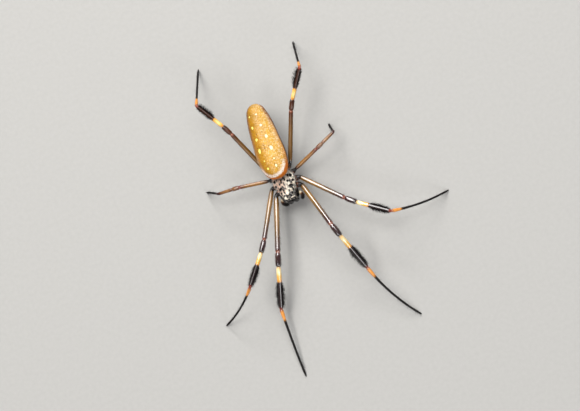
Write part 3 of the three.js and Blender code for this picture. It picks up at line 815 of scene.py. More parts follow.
def scatter(rings, along, count, rng, wanted=None):
    """Even random places on a form grown in rings: place, outward way, way along, U and V."""
    sides = rings.shape[1]
    closed = np.concatenate([rings, rings[:, :1]], axis=1)
    run = closed[1:, :-1] - closed[:-1, :-1]
    aside = closed[:-1, 1:] - closed[:-1, :-1]
    weight = np.linalg.norm(np.cross(run, aside), axis=2).ravel()
    draws = count if wanted is None else count * 6
    cell = rng.choice(len(weight), size=draws, p=weight / weight.sum())
    i, j = np.divmod(cell, sides)
    s, t = rng.random((2, draws, 1))
    a, b = closed[i, j], closed[i, j + 1]
    c, d = closed[i + 1, j], closed[i + 1, j + 1]
    spot = (a * (1 - t) + b * t) * (1 - s) + (c * (1 - t) + d * t) * s
    way = normed((c - a) * (1 - t) + (d - b) * t)
    out = normed(np.cross((b - a) * (1 - s) + (d - c) * s, way))
    middle = rings.mean(axis=1)
    centre = middle[i] * (1 - s) + middle[i + 1] * s
    out *= np.sign(np.sum(out * (spot - centre), axis=1, keepdims=True))
    u = ((j + sides / 2) % sides + t[:, 0]) / sides
    v = np.asarray(along)[i] * (1 - s[:, 0]) + np.asarray(along)[i + 1] * s[:, 0]
    found = dict(spot=spot, out=out, way=way, u=u, v=v)
    if wanted is not None:
        keep = rng.random(draws) < wanted(found)
        found = {key: value[keep][:count] for key, value in found.items()}
    return found


def sunk(found, depth=ROOT_DEPTH):
    """Hair roots a little under the places found."""
    return found["spot"] - found["out"] * depth * MM


def settled_on(shape, found):
    """Hair roots moved onto a finished form, a little under its surface."""
    tree = BVHTree.FromPolygons([v.co for v in shape.data.vertices],
                                [tuple(p.vertices) for p in shape.data.polygons])
    roots = found["spot"].copy()
    for i, spot in enumerate(found["spot"]):
        near, normal, _, _ = tree.find_nearest(Vector(spot))
        roots[i] = near - normal * ROOT_DEPTH * MM
    return roots


def leaning(found, lie, lean):
    """Each hair's way: it leans up from its lie by its own degrees."""
    lean = np.radians(lean)[:, None]
    return lie * np.cos(lean) + found["out"] * np.sin(lean)


def straying(way, rng, stray=0.1):
    """Ways that each stray a little at random."""
    return way + rng.normal(0, stray, way.shape)


def strands(name, found, roots, way, lie, length, width, bend=0.4, flat=1.0):
    """Tapered closed hairs: each starts along its way and bends toward its lie, in metres."""
    count = len(roots)
    length = np.broadcast_to(length, (count,))[:, None]
    width = np.broadcast_to(width, (count,))[:, None]
    way, lie = normed(way), normed(lie)
    side = normed(np.cross(way, lie) + 1e-6)
    thick = np.cross(side, way)
    half = roots + way * length * 0.5
    tip = half + normed(way * (1 - bend) + lie * bend) * length * 0.5
    around = [side * math.cos(a) + thick * math.sin(a) * flat for a in STRAND_TURNS]
    corners = [roots + ray * width / 2 for ray in around]
    corners += [half + ray * width / 2 * MIDDLE_WIDTH for ray in around]
    vertices = np.stack(corners + [tip], axis=1).reshape(-1, 3)
    vertices[:, 2] = np.maximum(vertices[:, 2], FLOOR_GAP * MM)
    faces = (np.arange(count)[:, None, None] * STRAND_CORNERS + STRAND_FACES).reshape(-1, 3)
    mesh = bpy.data.meshes.new(name)
    mesh.from_pydata(vertices, [], faces)
    inside = np.clip(np.stack([found["u"], found["v"]], axis=1), PATCH, 1 - PATCH)
    uv = (inside[:, None, :] + PATCH_CORNERS * PATCH).reshape(-1, 2)
    layer = mesh.uv_layers.new(name="OFBake")
    layer.data.foreach_set("uv", uv[faces.ravel()].ravel())
    mesh.shade_smooth()
    return linked(name, mesh)


def dress(name, slot, material, rng, found, roots, way, lie, stray, length, width, growth=1.0,
          **form):
    """Grow a coat of hair on the places found and give it to the frame.

    Each hair's way strays. Its length is drawn between two, in mm, and so is its width if two
    are given. Growth makes some hairs longer than others.
    """
    way = straying(way, rng, stray)
    length = rng.uniform(*length, len(roots)) * growth * MM
    if isinstance(width, tuple):
        width = rng.uniform(*width, len(roots))
    settle(strands(name, found, roots, way, lie, length, width * MM, **form), slot, material)


# ------------------------------------------------------------------------ legs


def leg_plan(pair, side):
    """The leg's rings from hip to claws: places and radii in metres, and places on its map."""
    leg, pose = LEGS[pair], POSE[side][pair]
    root, hip = mirrored(leg["root"], side), mirrored(leg["hip"], side)
    femur_way, tibia_way = heading(*pose["femur"], side), heading(*pose["tibia"], side)
    knee = hip + femur_way * leg["femur"]
    shin = knee + (femur_way + tibia_way).normalized() * leg["patella"]
    ankle = shin + tibia_way * leg["tibia"]
    line = foot_to_floor(ankle, leg["foot"], pose["foot"], side)
    toe = 1 - leg["tarsus"] / leg["foot"]
    spans = {
        "coxa": lambda share: root.lerp(hip, share),
        "femur": lambda share: hip.lerp(knee, share),
        "patella": lambda share: knee.lerp(shin, share),
        "tibia": lambda share: shin.lerp(ankle, share),
        "metatarsus": lambda share: point_on(line, share * toe),
        "tarsus": lambda share: point_on(line, toe + share * (1 - toe)),
    }
    # The first ring is inside the body, a little before the root.
    path, radii, along = [root.lerp(hip, -0.25)], [0.4 * leg["hip_girth"]], [0.0]
    for segment in SEGMENTS:
        girth = leg["hip_girth"] if segment == "coxa" else leg["girth"]
        for share, radius in OUTLINES[segment]:
            if segment == "metatarsus" and share > 0.2 or segment == "tarsus" and share < 0.7:
                radius = max(radius, THIN_FOOT / girth)
            path.append(spans[segment](share))
            radii.append(max(radius * girth, THIN_TIP))
            along.append(along_leg(segment, share))
    return [p * MM + SHIFT for p in path], [r * MM for r in radii], along


def dorsal(found):
    """How far each place lies on the leg's upper side: 1 on the top line, -1 below."""
    side = normed(np.cross(found["way"], (0.0, 0.0, 1.0)))
    return np.sum(found["out"] * np.cross(side, found["way"]), axis=1)


def shin_share(v):
    """The share of the shin's length for places on the leg's map; outside 0 to 1 elsewhere."""
    return v * len(SEGMENTS) - SEGMENTS.index("tibia")


def brush(pair, side, rings, along, rng):
    """The stiff dark brush round the outer part of the shin: short dense hair, spiky longer locks,
    and a bare line along the top."""
    facts = BRUSH[pair]

    def wanted(found):
        share = shin_share(found["v"])
        start = np.clip((share - facts["start"]) / 0.08, 0.12, 1)
        end = np.clip((0.975 - share) / 0.1, 0, 1)
        sides = np.clip((0.74 - dorsal(found)) / 0.16, 0, 1)
        return (share > facts["start"]) * (start * end) * sides

    low = max(i for i, v in enumerate(along) if shin_share(v) < facts["start"])
    high = min(i for i, v in enumerate(along) if shin_share(v) > 0.985) + 1
    found = scatter(rings[low:high], along[low:high], facts["count"], rng, wanted)
    count = len(found["u"])
    share = shin_share(found["v"])
    late = np.clip((share - 0.7) / 0.28, 0, 1)
    early = np.clip((share - facts["start"]) / 0.16, 0, 1)
    full = (facts["length"] + (facts["end_length"] - facts["length"]) * late) * (0.45 + 0.55 * early) * MM
    inner = found["out"][:, 0] * (-1 if side == "left" else 1)
    full = full * (1 + facts["inner"] * inner)
    long_hair = rng.random(count) < 0.36
    length = full * np.where(long_hair, rng.uniform(0.58, 1.1, count), rng.uniform(0.2, 0.46, count))
    way = straying(leaning(found, found["way"], rng.normal(60, 9, count)), rng)
    # Long hairs draw in toward the tip of the nearest leader, so that the brush ends in spikes.
    leaders = rng.choice(np.flatnonzero(long_hair), size=facts["locks"], replace=False)
    length[leaders] = full[leaders] * rng.uniform(0.95, 1.3, len(leaders))
    apart = ((found["spot"][:, None] - found["spot"][leaders][None]) ** 2).sum(2)
    nearest = leaders[np.argmin(apart, axis=1)]
    goal = found["spot"][nearest] + normed(way[nearest]) * length[nearest][:, None]
    drawn = normed(goal - found["spot"])
    share_drawn = np.where(long_hair, 0.55, 0.2)[:, None]
    way = normed(way) * (1 - share_drawn) + drawn * share_drawn
    return strands(f"brush_{pair}_{side}", found, sunk(found, 0.04), way, drawn, length, 0.034 * MM,
                   bend=0.3)


def leg_setae(pair, side, rings, along, rng):
    """Fine short hair all down the leg, with a few long spines among it."""
    def on_foot(found):
        return found["v"] > along_leg("metatarsus", 0.2)

    def wanted(found):
        bare = (dorsal(found) > 0.4) & (found["v"] > along_leg("femur", 0.0))
        thick = np.where(on_foot(found), 1.0, np.where(bare, 0.06, 0.42))
        return thick * (found["v"] > along_leg("coxa", 0.1))

    found = scatter(rings, along, HAIRS["short_leg" if pair == 3 else "leg"], rng, wanted)
    count = len(found["u"])
    length = rng.uniform(0.22, 0.4, count) * np.where(on_foot(found), 0.9, 1.0)
    spine = rng.random(count) < 0.03
    length = np.where(spine, rng.uniform(0.7, 1.05, count), length)
    length = length * MM * (0.5 + 0.5 * LEGS[pair]["girth"])
    lean = np.where(spine, rng.normal(50, 8, count), rng.normal(30, 8, count))
    way = straying(leaning(found, found["way"], lean), rng)
    return strands(f"leg_hair_{pair}_{side}", found, sunk(found, 0.03), way, found["way"], length,
                   np.where(spine, 0.04, 0.024) * MM, bend=0.3)


def claw_at(name, tip, way, size):
    """One hooked claw, grown as a bent cone from the end of the foot."""
    path, radii = [], []
    for share in np.linspace(0, 1, 6):
        down = Vector((0, 0, -CLAW_HOOK * share ** 2))
        radii.append(size * (0.16 * (1 - share) + 0.02))
        path.append(tip + (way * share + down) * size)
        path[-1].z = max(path[-1].z, radii[-1] * 1.2)
    claw = grow_tube(name, path, radii, 8)
    bpy.ops.object.mode_set(mode="OBJECT")
    claw.data.shade_smooth()
    return claw


def claws_of(pair, side, path):
    """Two claws side by side and a small one between them, at the end of a leg's path."""
    tip, way = path[-1], (path[-1] - path[-3]).normalized()
    across = way.cross(UP).normalized()
    level = (way + UP * 0.5).normalized()
    return [claw_at(f"claw_{pair}_{side}_{offset + 1}",
                    tip - way * 0.06 * MM + across * offset * 0.035 * MM,
                    (level + across * offset * 0.35).normalized(), (0.26 if offset else 0.16) * MM)
            for offset in (-1, 0, 1)]


def build_legs(brush_black, claw_horn):
    shells = {pair: leg_shell(pair) for pair in LEGS}
    leg_hairs = {pair: marked_hair(
        f"leg_hair_{pair}", functools.partial(leg_colour, pair=pair, map_name="OFBake"), 0.72,
        (0.004, 0.002, 0.001)) for pair in LEGS}
    claws = []
    for side in SIDES:
        for pair in LEGS:
            rng = np.random.default_rng(SEED + pair * 10 + (side == "left"))
            path, radii, along = leg_plan(pair, side)
            leg = grow_tube(f"leg_{pair}_{side}", path, radii, LEG_SIDES, tall=1.03)
            rings = close_form(leg, LEG_SIDES, along, "LegMap")
            settle(leg, "femurs", shells[pair], *(f"leg{pair}_{side}_{part}" for part in LEG_NODES))
            if pair in BRUSH:
                settle(brush(pair, side, rings, along, rng), "tibias", brush_black)
            settle(leg_setae(pair, side, rings, along, rng), "feet", leg_hairs[pair])
            claws += claws_of(pair, side, path)
    settle(join(claws, "claws"), "feet", claw_horn)


# ----------------------------------------------------------------------- trunk


def shell_pushes():
    """The carapace's grooves and pits, its horns and eye knobs, and the pit in its middle."""
    pushes = []
    for sign in (-1, 1):
        pushes += [((sign * (1.9 - 1.5 * share), -2.0 + 2.5 * share, 9.95), (0, 0, -0.13), 0.42)
                   for share in np.linspace(0, 1, 6)]
        pushes += [((sign * x, y, 9.3), (0, 0, -0.1), 0.45) for x, y in SHELL_PITS]
        pushes += [((sign * x, y, z), (sign * aside, back, up), reach)
                   for (x, y, z), (aside, back, up), reach in SHELL_KNOBS]
    return pushes + [((x, 1.35, 9.2), (0, 0, -0.16), 0.34) for x in (-0.25, 0, 0.25)]


def build_carapace(shell_horn, silver, setae_dark):
    """The head and chest shell, its silver hair, and the dark bristles under its sides."""
    sides = 32
    y, half, top, under = CARAPACE[0]
    shape = first_ring("carapace_shell", half * MM, sides)
    stretch_halves((top - under - CARAPACE_WAIST) / half, CARAPACE_WAIST / half)
    bpy.ops.mesh.select_mode(type="FACE")
    bpy.ops.transform.rotate(value=math.pi, orient_axis="Z", center_override=MIDDLE)
    move(place((0, y, under + CARAPACE_WAIST)))
    for (y0, half0, top0, under0), (y1, half1, top1, under1) in zip(CARAPACE, CARAPACE[1:]):
        extrude(Vector((0, y1 - y0, under1 - under0)) * MM)
        tall = (top1 - under1 - CARAPACE_WAIST) / (top0 - under0 - CARAPACE_WAIST)
        resize((half1 / half0, 1, tall), place((0, y1, under1 + CARAPACE_WAIST)))
    along = [(row[0] - CARAPACE[0][0]) / (CARAPACE[-1][0] - CARAPACE[0][0]) for row in CARAPACE]
    rings = close_form(shape, sides, along, "ShellMap", levels=2)
    push(shape, shell_pushes())
    settle(shape, "carapace", shell_horn, "carapace")

    def haired(found):
        at = in_mm(found["spot"])
        bald = np.zeros(len(at))
        for x, y, half_x, half_y in BALD_SPOTS:
            reach = np.hypot((np.abs(at[:, 0]) - x) / half_x, (at[:, 1] - y) / half_y)
            bald = np.maximum(bald, np.clip((1.12 - reach) / 0.24, 0, 1))
        patchy = sum(np.sin(at[:, 0] * a + at[:, 1] * b + c) for a, b, c in PATCH_WAVES)
        upper = np.clip((found["out"][:, 2] + 0.35) * 3, 0, 1)
        return (1 - bald) * np.clip(0.55 + patchy * 0.45, 0.04, 1) * upper

    rng = np.random.default_rng(SEED + DRAWS["carapace"])
    found = scatter(rings, along, HAIRS["carapace"], rng, haired)
    # The hair lies back and a little outwards.
    lie = found["way"] + np.sign(in_mm(found["spot"])[:, :1]) * (0.35, 0, 0)
    way = leaning(found, normed(lie), rng.normal(22, 7, len(lie)))
    dress("carapace_hair", "carapace", silver, rng, found, settled_on(shape, found), way, lie, 0.16,
          (0.24, 0.44), (0.045, 0.075), bend=0.45, flat=0.35)

    def cheeks(found):
        at = in_mm(found["spot"])
        return (at[:, 1] < -2.4) & (at[:, 2] < 8.9) & (np.abs(found["out"][:, 0]) > 0.5)

    rng = np.random.default_rng(SEED + DRAWS["cheek"])
    found = scatter(rings, along, HAIRS["cheek"], rng, cheeks)
    way = found["out"] + (0.0, -0.45, -0.3)
    lie = np.tile((0.0, -1.0, -0.4), (len(way), 1))
    dress("cheek_hair", "carapace", setae_dark, rng, found, settled_on(shape, found), way, lie, 0.15,
          (0.3, 0.6), 0.03)


def build_sternum(horn, hair_material):
    """The breastplate: a shield grown downwards, its rim meeting the hips."""
    sides = 2 * len(STERNUM)
    start_alone()
    bpy.ops.mesh.primitive_circle_add(vertices=sides, radius=MM, fill_type="NGON")
    shape = bpy.context.object
    shape.name = shape.data.name = "breastplate"
    first_z = STERNUM_LEVELS[0][0]
    rim = [(half, y, first_z) for y, half in STERNUM] + [(-half, y, first_z) for y, half in reversed(STERNUM)]
    for vertex, at in zip(shape.data.vertices, rim):
        vertex.co = place(at)
    edit_all()
    centre = place((0, 0.3, 0))
    for (z0, spread0), (z1, spread1) in zip(STERNUM_LEVELS, STERNUM_LEVELS[1:]):
        extrude((0, 0, (z1 - z0) * MM))
        ratio = spread1 / spread0
        resize((ratio, 0.4 + 0.6 * ratio, 1), (centre.x, centre.y, z1 * MM))
    along = np.linspace(0, 1, len(STERNUM_LEVELS))
    rings = close_form(shape, sides, along, "ShellMap")
    push(shape, STERNUM_PUSHES)
    settle(shape, "sternum", horn, "sternum")

    rng = np.random.default_rng(SEED + DRAWS["breastplate"])
    # Its upper rings are inside the body and stay bare.
    found = scatter(rings[3:], along[3:], HAIRS["breastplate"], rng)
    lie = np.tile((0.0, 1.0, 0.0), (HAIRS["breastplate"], 1))
    dress("breastplate_hair", "sternum", hair_material, rng, found, settled_on(shape, found),
          lie + found["out"] * 0.6, lie, 0.2, (0.25, 0.5), 0.026)


def tail_frame():
    """The abdomen's tail and length, and its ways: to the front, to the animal's right, over."""
    front, tail = place(ABDOMEN_FRONT), place(ABDOMEN_TAIL)
    ahead = (front - tail).normalized()
    across = Matrix.Rotation(math.radians(ABDOMEN_ROLL), 3, ahead) @ ahead.cross(UP).normalized()
    return tail, (front - tail).length, ahead, across, across.cross(ahead).normalized()


def abdomen_sizes(share):
    """Half width, height above and depth below the abdomen's axis, in mm."""
    shares, *sizes = zip(*ABDOMEN)
    return [float(np.interp(share, shares, size)) for size in sizes]


def abdomen_point(share, angle):
    """A place on the abdomen: angle from the top line, positive to the animal's own left."""
    tail, length, ahead, across, over = tail_frame()
    half, above, below = abdomen_sizes(share)
    tall = above if abs(angle) < 90 else below
    around = math.radians(angle)
    out = -across * half * math.sin(around) + over * tall * math.cos(around)
    return tail + ahead * length * share + out * MM


def build_abdomen(skin, hair_material):
    """The abdomen, with pits where muscles hold its back and the low plates over its lungs."""
    sides = 48
    tail, length, ahead, across, over = tail_frame()
    first_share, half, above, below = ABDOMEN[0]
    shape = first_ring("abdomen_skin", half * MM, sides)
    stretch_halves(above / half, below / half)
    for ring, ((s0, w0, a0, b0), (s1, w1, a1, b1)) in enumerate(zip(ABDOMEN, ABDOMEN[1:]), 1):
        centre = (0, -(s1 - first_share) * length, 0)
        extrude((0, -(s1 - s0) * length, 0))
        resize((w1 / w0, 1, a1 / a0), centre)
        pick(lambda number, at: number >= ring * sides and at.z < -1e-9)
        resize((1, 1, (b1 / b0) / (a1 / a0)), centre)
        pick(lambda number, at: number >= ring * sides)
    edit_all()
    # Local -Y is the way to the front, +Z is over.
    turn(Matrix((-across, -ahead, over)).transposed())
    move(tail + ahead * first_share * length)
    along = [row[0] for row in ABDOMEN]
    rings = close_form(shape, sides, along, "BackMap", levels=2)
    dents = [(abdomen_point(share, angle), -over * 0.13, 0.36) for share, angle in BACK_PITS]
    dents += [(abdomen_point(0.85, angle), -over * 0.12, 0.9) for angle in (150, -150)]
    push(shape, [((centre - SHIFT) / MM, step, reach) for centre, step, reach in dents])
    settle(shape, "abdomen", skin, "abdomen")

    rng = np.random.default_rng(SEED + DRAWS["abdomen"])
    found = scatter(rings, along, HAIRS["abdomen"], rng)
    lie = -found["way"]
    way = leaning(found, lie, rng.normal(26, 8, len(lie)))
    dress("abdomen_hair", "abdomen", hair_material, rng, found, settled_on(shape, found), way, lie,
          0.15, (0.18, 0.34), 0.02)


def tube_of_rings(name, start, way, rings, size, sides, up):
    """A straight tube. Each ring has its place along the way and its radius, which is sized."""
    path = [start + way * share * MM for share, _ in rings]
    shape = grow_tube(name, path, [radius * size * MM for _, radius in rings], sides, up=up)
    close_form(shape, sides, np.linspace(0, 1, len(rings)))
    return shape


def build_waist(horn):
    start, end = place(PEDICEL["start"]), place(PEDICEL["end"])
    path = [start.lerp(end, share) for share, _ in PEDICEL_RINGS]
    shape = grow_tube("waist", path, [PEDICEL["radius"] * size * MM for _, size in PEDICEL_RINGS], 20)
    close_form(shape, 20, np.linspace(0, 1, len(path)))
    settle(shape, "pedicel", horn, "pedicel")


def build_spinnerets(horn):
    """Two big pairs of spinnerets round a low mound, with the small tubercle behind them."""
    tail, length, ahead, across, over = tail_frame()
    depth = abdomen_sizes(SPINNERET_SHARE)[2]
    mound = tail + ahead * length * SPINNERET_SHARE + over * (0.5 - depth) * MM
    out = (-over - ahead * 0.35).normalized()
    forms = [tube_of_rings("spinneret_mound", mound, out, MOUND_RINGS, 1.0, 24, ahead)]
    for sideways, back, size in SPINNERETS:
        foot = mound + (across * sideways - ahead * back + out * 0.5) * MM
        lean = (out - across * sideways * 0.35).normalized() * 1.05 * size
        forms.append(tube_of_rings("spinneret", foot, lean, SPINNERET_RINGS, size, 16, ahead))
    settle(join(forms, "spinneret_group"), "spinnerets", horn, "spinnerets")


def limb(name, points, point_radii, steps, sides, map_name="FormMap", joints=()):
    """A tube on a smooth curve, pinched at its joints; returns it, its rings and their places."""
    along = [i / steps for i in range(steps + 1)]
    path, radii = [], []
    for share in along:
        at = share * (len(points) - 1)
        neck = min((abs(at - joint) for joint in joints), default=1.0)
        pinch = 1 - 0.2 * max(0.0, 1 - neck / 0.22)
        path.append(catmull(points, at))
        radii.append(float(np.interp(at, range(len(points)), point_radii)) * pinch * MM)
    shape = grow_tube(name, path, radii, sides)
    return shape, close_form(shape, sides, along, map_name), along


def build_mouthparts(jaw_horn, fang_horn, feeler_horn, setae_dark, feeler_hair):
    """The jaws with a fang each and the feelers, all with their hair."""
    for side in SIDES:
        points = [place(point, side) for point in CHELICERA_PATH]
        jaw, rings, along = limb(f"jaw_{side}", points, [r * 0.97 for r in CHELICERA_RADII], 24, 20)
        settle(jaw, "chelicerae", jaw_horn, f"chelicera_{side}")

        start, end = place(FANG["start"], side), place(FANG["end"], side)
        shares = np.linspace(0, 1, 9)
        bow = Vector(FANG["bow"]) * MM
        path = [start.lerp(end, share) + bow * math.sin(math.pi * share) for share in shares]
        radii = [FANG["radius"] * (1 - 0.85 * share) * MM for share in shares]
        fang = grow_tube(f"fang_{side}", path, radii, 12)
        close_form(fang, 12, shares)
        settle(fang, "chelicerae", fang_horn)

        rng = np.random.default_rng(SEED + DRAWS["mouth"] + (side == "left"))
        found = scatter(rings, along, HAIRS["jaw"], rng)
        way = found["way"] * 0.8 + found["out"] * 0.6
        dress(f"jaw_hair_{side}", "chelicerae", setae_dark, rng, found, sunk(found), way,
              found["way"], 0.15, (0.16, 0.36), 0.024)

        points = [place(point, side) for point in PALP_PATH]
        feeler, rings, along = limb(f"feeler_{side}", points, [r * 0.95 for r in PALP_RADII], 42, 16,
                                    "LegMap", PALP_JOINTS)
        settle(feeler, "palps", feeler_horn, f"palp_{side}")
        found = scatter(rings, along, HAIRS["feeler"], rng)
        way = found["way"] * 0.8 + found["out"] * 0.7
        dress(f"feeler_hair_{side}", "palps", feeler_hair, rng, found, sunk(found), way,
              found["way"], 0.15, (0.7, 1.2), 0.026,
              growth=np.interp(found["v"], [0, 0.4, 1], [0.25, 0.4, 0.62]))


def build_eyes(eye_black):
    """Eight glossy domes, modelled once; the outer pairs sit on a shared knob."""
    start_alone()
    bpy.ops.mesh.primitive_uv_sphere_add(segments=28, ring_count=18, radius=EYE_DOME * MM)
    model = bpy.context.object
    edit_all("VERT")
    pick(lambda number, at: at.z < -0.02 * MM)
    resize((1.12, 1.12, 0.8))
    bpy.ops.object.mode_set(mode="OBJECT")
    model.data.shade_smooth()
    for where, at in EYES.items():
        for side in SIDES:
            name = f"eye_dome_{where}_{side}"
            eye = linked(name, model.data.copy())
            eye.data.name = name
            centre = place(at, side)
            gaze = (centre - place(HEAD_CENTRE)).normalized()
            take(eye)
            edit_all("VERT")
            turn(UP.rotation_difference(gaze).to_matrix())
            move(centre + gaze * 0.02 * MM)
            bpy.ops.object.mode_set(mode="OBJECT")
            settle(eye, "eyes", eye_black, f"eye_{where}_{side}")
    bpy.data.objects.remove(model)


# ------------------------------------------------------ the trunk's materials


def abdomen_marks(write, map_on, rows):
    """One mask for all the oval marks in a table of places on the abdomen."""
    length = (Vector(ABDOMEN_FRONT) - Vector(ABDOMEN_TAIL)).length
    # The girth in mm, of an outline that is a little less than a round one.
    girths = [math.tau * abdomen_sizes(share)[0] * 0.97 for share, *_ in rows]
    return write.marks(map_on, [
        (share, 0.5 - angle / 360, half_length / length, half_width / girth)
        for (share, angle, half_length, half_width), girth in zip(rows, girths)], 0.2)


def skin_net(write, place_on):
    """The fine net of creases in the abdomen's skin: 0 in a crease, more between them."""
    return write.add("ShaderNodeTexVoronoi", {"Vector": place_on, "Scale": 3000.0},
                     feature="DISTANCE_TO_EDGE").outputs["Distance"]


def abdomen_ground(write, around, share):
    """The abdomen's broad colours, from the place round it and the share of its length."""
    # Round the back from the animal's own left flank to its right one: brown belly, rust edge, pale flank,
    # straw, peach top, old gold, rust edge, belly. The two dark rust edges are painted shade along the
    # outlines.
    base = write.tints(
        around, (0.05, 74, 48, 28), (0.17, 76, 42, 20), (0.222, 66, 28, 8), (0.25, 92, 40, 8),
        (0.266, 206, 110, 22), (0.285, 232, 160, 60), (0.33, 230, 180, 88), (0.37, 212, 160, 58),
        (0.41, 212, 162, 66), (0.45, 204, 152, 48), (0.485, 196, 146, 50), (0.515, 192, 142, 46),
        (0.55, 182, 128, 16), (0.585, 178, 126, 8), (0.62, 168, 108, 4), (0.65, 140, 80, 6),
        (0.69, 92, 46, 12), (0.73, 78, 44, 20), (0.95, 74, 48, 28))
    # Both flanks are browner toward the tail and paler toward the front.
    left_flank = write.tints(share, (0.05, 150, 80, 18), (0.26, 166, 96, 26), (0.38, 228, 170, 80),
                             (0.62, 222, 160, 66), (0.86, 206, 128, 34))
    right_flank = write.tints(share, (0.1, 110, 64, 4), (0.36, 138, 84, 8), (0.6, 176, 122, 50),
                              (0.84, 188, 140, 78))
    on_left = write.ramp(around, (0.252, 0), (0.274, 1), (0.3, 1), (0.345, 0))
    on_right = write.ramp(around, (0.606, 0), (0.645, 1), (0.69, 1), (0.71, 0))
    base = write.mix(write.times(on_left, 0.85), base, left_flank)
    base = write.mix(write.times(on_right, 0.85), base, right_flank)
    return write.shade(base, write.span(share, 0.2, 0.4, 0.87, 1.0))


def abdomen_front(write, place_on, skin, broad):
    """The pale band that follows the rounded front edge of the back, and the rust rim before it: orange,
    painted darker as shade on the front face.
    """
    tail, length, ahead_way, across_way, over_way = tail_frame()
    cap = write.vector("SUBTRACT", place_on, tail + ahead_way * length * CAP_SHARE)
    ahead = write.dot(cap, ahead_way / ((1 - CAP_SHARE) * length))
    aside = write.dot(cap, across_way / (CAP_HALF_WIDTH * MM))
    above = write.dot(cap, over_way / MM)
    reach = write.math("SQRT", write.plus(write.times(ahead, ahead), write.times(aside, aside)))
    stray = write.minus(broad, 0.5)
    reach = write.plus(reach, write.times(stray, 0.12))
    band = write.ramp(reach, (0.7, 0), (0.8, 0.7), (0.86, 1), (0.91, 1), (0.93, 0))
    band = write.times(write.times(band, write.span(above, -0.6, 0.2)), write.span(ahead, 0.0, 0.22))
    pale = write.times(band, write.specks(place_on, 2600.0, 0.57, 0.05))
    skin = write.mix(pale, skin, srgb(252, 238, 226))
    # Below the middle the rust draws in toward the front.
    drop = write.times(write.math("MINIMUM", above, 0.0), 0.13)
    rust = write.plus(write.plus(ahead, drop), write.times(stray, 0.5))
    # Painted shade: the front face and the lower front are darkened to rust.
    rim = write.times(write.ramp(reach, (0.915, 0), (0.94, 1)), write.span(rust, -0.02, 0.26))
    return write.mix(rim, skin, srgb(208, 112, 14))


def abdomen_colour(write, place_on, map_name):
    """The back's markings, for the skin and for the hair over it: yellow-brown with paired pale spots,
    a white band in front and a brown belly; with painted shade in its creases, outlines and front face."""
    map_on = write.vector("ADD", write.uv(map_name), write.sway(place_on, 900.0, 0.012))
    parts = write.split(map_on)
    around = parts["X"]
    fine = write.noise(place_on, 3400.0, 3.0, 0.7)
    broad = write.noise(place_on, 520.0)
    mingled = write.plus(write.times(fine, 0.6), write.times(broad, 0.4))
    skin = write.shade(abdomen_ground(write, around, parts["Y"]),
                       write.span(mingled, 0.36, 0.64, 0.68, 1.22))
    # Painted shade: the skin is darkened in the creases of its net.
    skin = write.shade(skin, write.span(skin_net(write, place_on), 0.0, 0.14, 0.8, 1.04))
    # Dark stippling, as on orange peel, under the pale grains.
    stipple = write.specks(place_on, 2900.0, 0.4, 0.05)
    skin = write.mix(write.times(stipple, 0.35), skin, srgb(120, 70, 8))
    # Fine white grains lie over the back, thickest on the flanks and thin on the gold.
    grains = write.specks(place_on, 2800.0, 0.44, 0.04)
    where = write.ramp(around, (0.24, 0), (0.27, 0.35), (0.3, 0.8), (0.36, 0.65), (0.43, 0.3),
                       (0.49, 0.28), (0.54, 0.1), (0.59, 0.05), (0.64, 0.12), (0.67, 0.3), (0.69, 0))
    skin = write.mix(write.times(grains, where), skin, srgb(246, 228, 196))
    for rows, centre in ((LEFT_SPOTS, (250, 242, 186)), (RIGHT_SPOTS, (248, 234, 120))):
        wider = [(share, angle, x + 0.15, y + 0.16) for share, angle, x, y in rows]
        halo = write.times(abdomen_marks(write, map_on, wider), 0.8)
        skin = write.mix(halo, skin, srgb(134, 80, 16))
        skin = write.mix(abdomen_marks(write, map_on, rows), skin, srgb(*centre))
    flecks = write.times(abdomen_marks(write, map_on, FLANK_FLECKS), 0.7)
    skin = write.mix(flecks, skin, srgb(246, 236, 212))
    pits = abdomen_marks(write, map_on, [(*pit, 0.13, 0.1) for pit in BACK_PITS])
    skin = write.mix(pits, skin, srgb(70, 44, 26))
    skin = abdomen_front(write, place_on, skin, broad)
    # Pale flecks on the brown belly.
    belly = write.span(write.math("ABSOLUTE", write.minus(around, 0.5)), 0.3, 0.36)
    dots = write.times(belly, write.specks(place_on, 1300.0, 0.34, 0.03))
    return write.mix(write.times(dots, 0.7), skin, srgb(206, 176, 112))


def abdomen_skin():
    """Leathery marked skin, netted with creases."""
    material, write, place_on = new_material("abdomen_skin")
    horn = write.horn(place_on, 0.55, 0.42)
    height = write.plus(write.times(skin_net(write, place_on), 1.4), horn["Height"])
    write.shader(Base_Color=abdomen_colour(write, place_on, "BackMap"), Roughness=horn["Roughness"],
                 Specular_IOR_Level=0.3, Normal=write.bump(height, 0.45, 0.05))
    return material


def carapace_colour(write, place_on):
    """Black bald spots on a pale ground, cracked with black, blushing on the animal's own right."""
    per_mm = 1 / MM
    at = write.vector("MULTIPLY", write.vector("ADD", place_on, -SHIFT), (per_mm, per_mm, per_mm))
    parts = write.split(at)
    folded = write.add("ShaderNodeCombineXYZ", {
        0: write.math("ABSOLUTE", parts["X"]), 1: parts["Y"]}).outputs[0]
    map_on = write.vector("ADD", folded, write.sway(place_on, 1800.0, 0.35))
    bald = write.marks(map_on, [(y, x, half_y, half_x) for x, y, half_x, half_y in BALD_SPOTS], 0.15)
    # The cracks crowd on the raised head and leave a clear patch between the eyes.
    cracks = write.specks(place_on, 1150.0, write.span(parts["Y"], 0.2, -1.0, 0.43, 0.49), 0.015)
    stains = write.specks(place_on, 1700.0, 0.46, 0.05)
    right, behind = write.span(parts["X"], 0.6, -0.6), write.span(parts["Y"], -3.2, -1.6)
    blush = write.times(write.times(right, behind), write.noise(place_on, 800.0))
    pale = write.mix(blush, srgb(254, 244, 226), srgb(214, 150, 118))
    pale = write.mix(write.times(stains, 0.5), pale, srgb(140, 98, 66))
    pale = write.mix(cracks, pale, srgb(14, 9, 8))
    base = write.mix(bald, pale, srgb(*BLACK))
    return write.mix(write.span(parts["Z"], 7.9, 8.3), srgb(50, 28, 22), base)


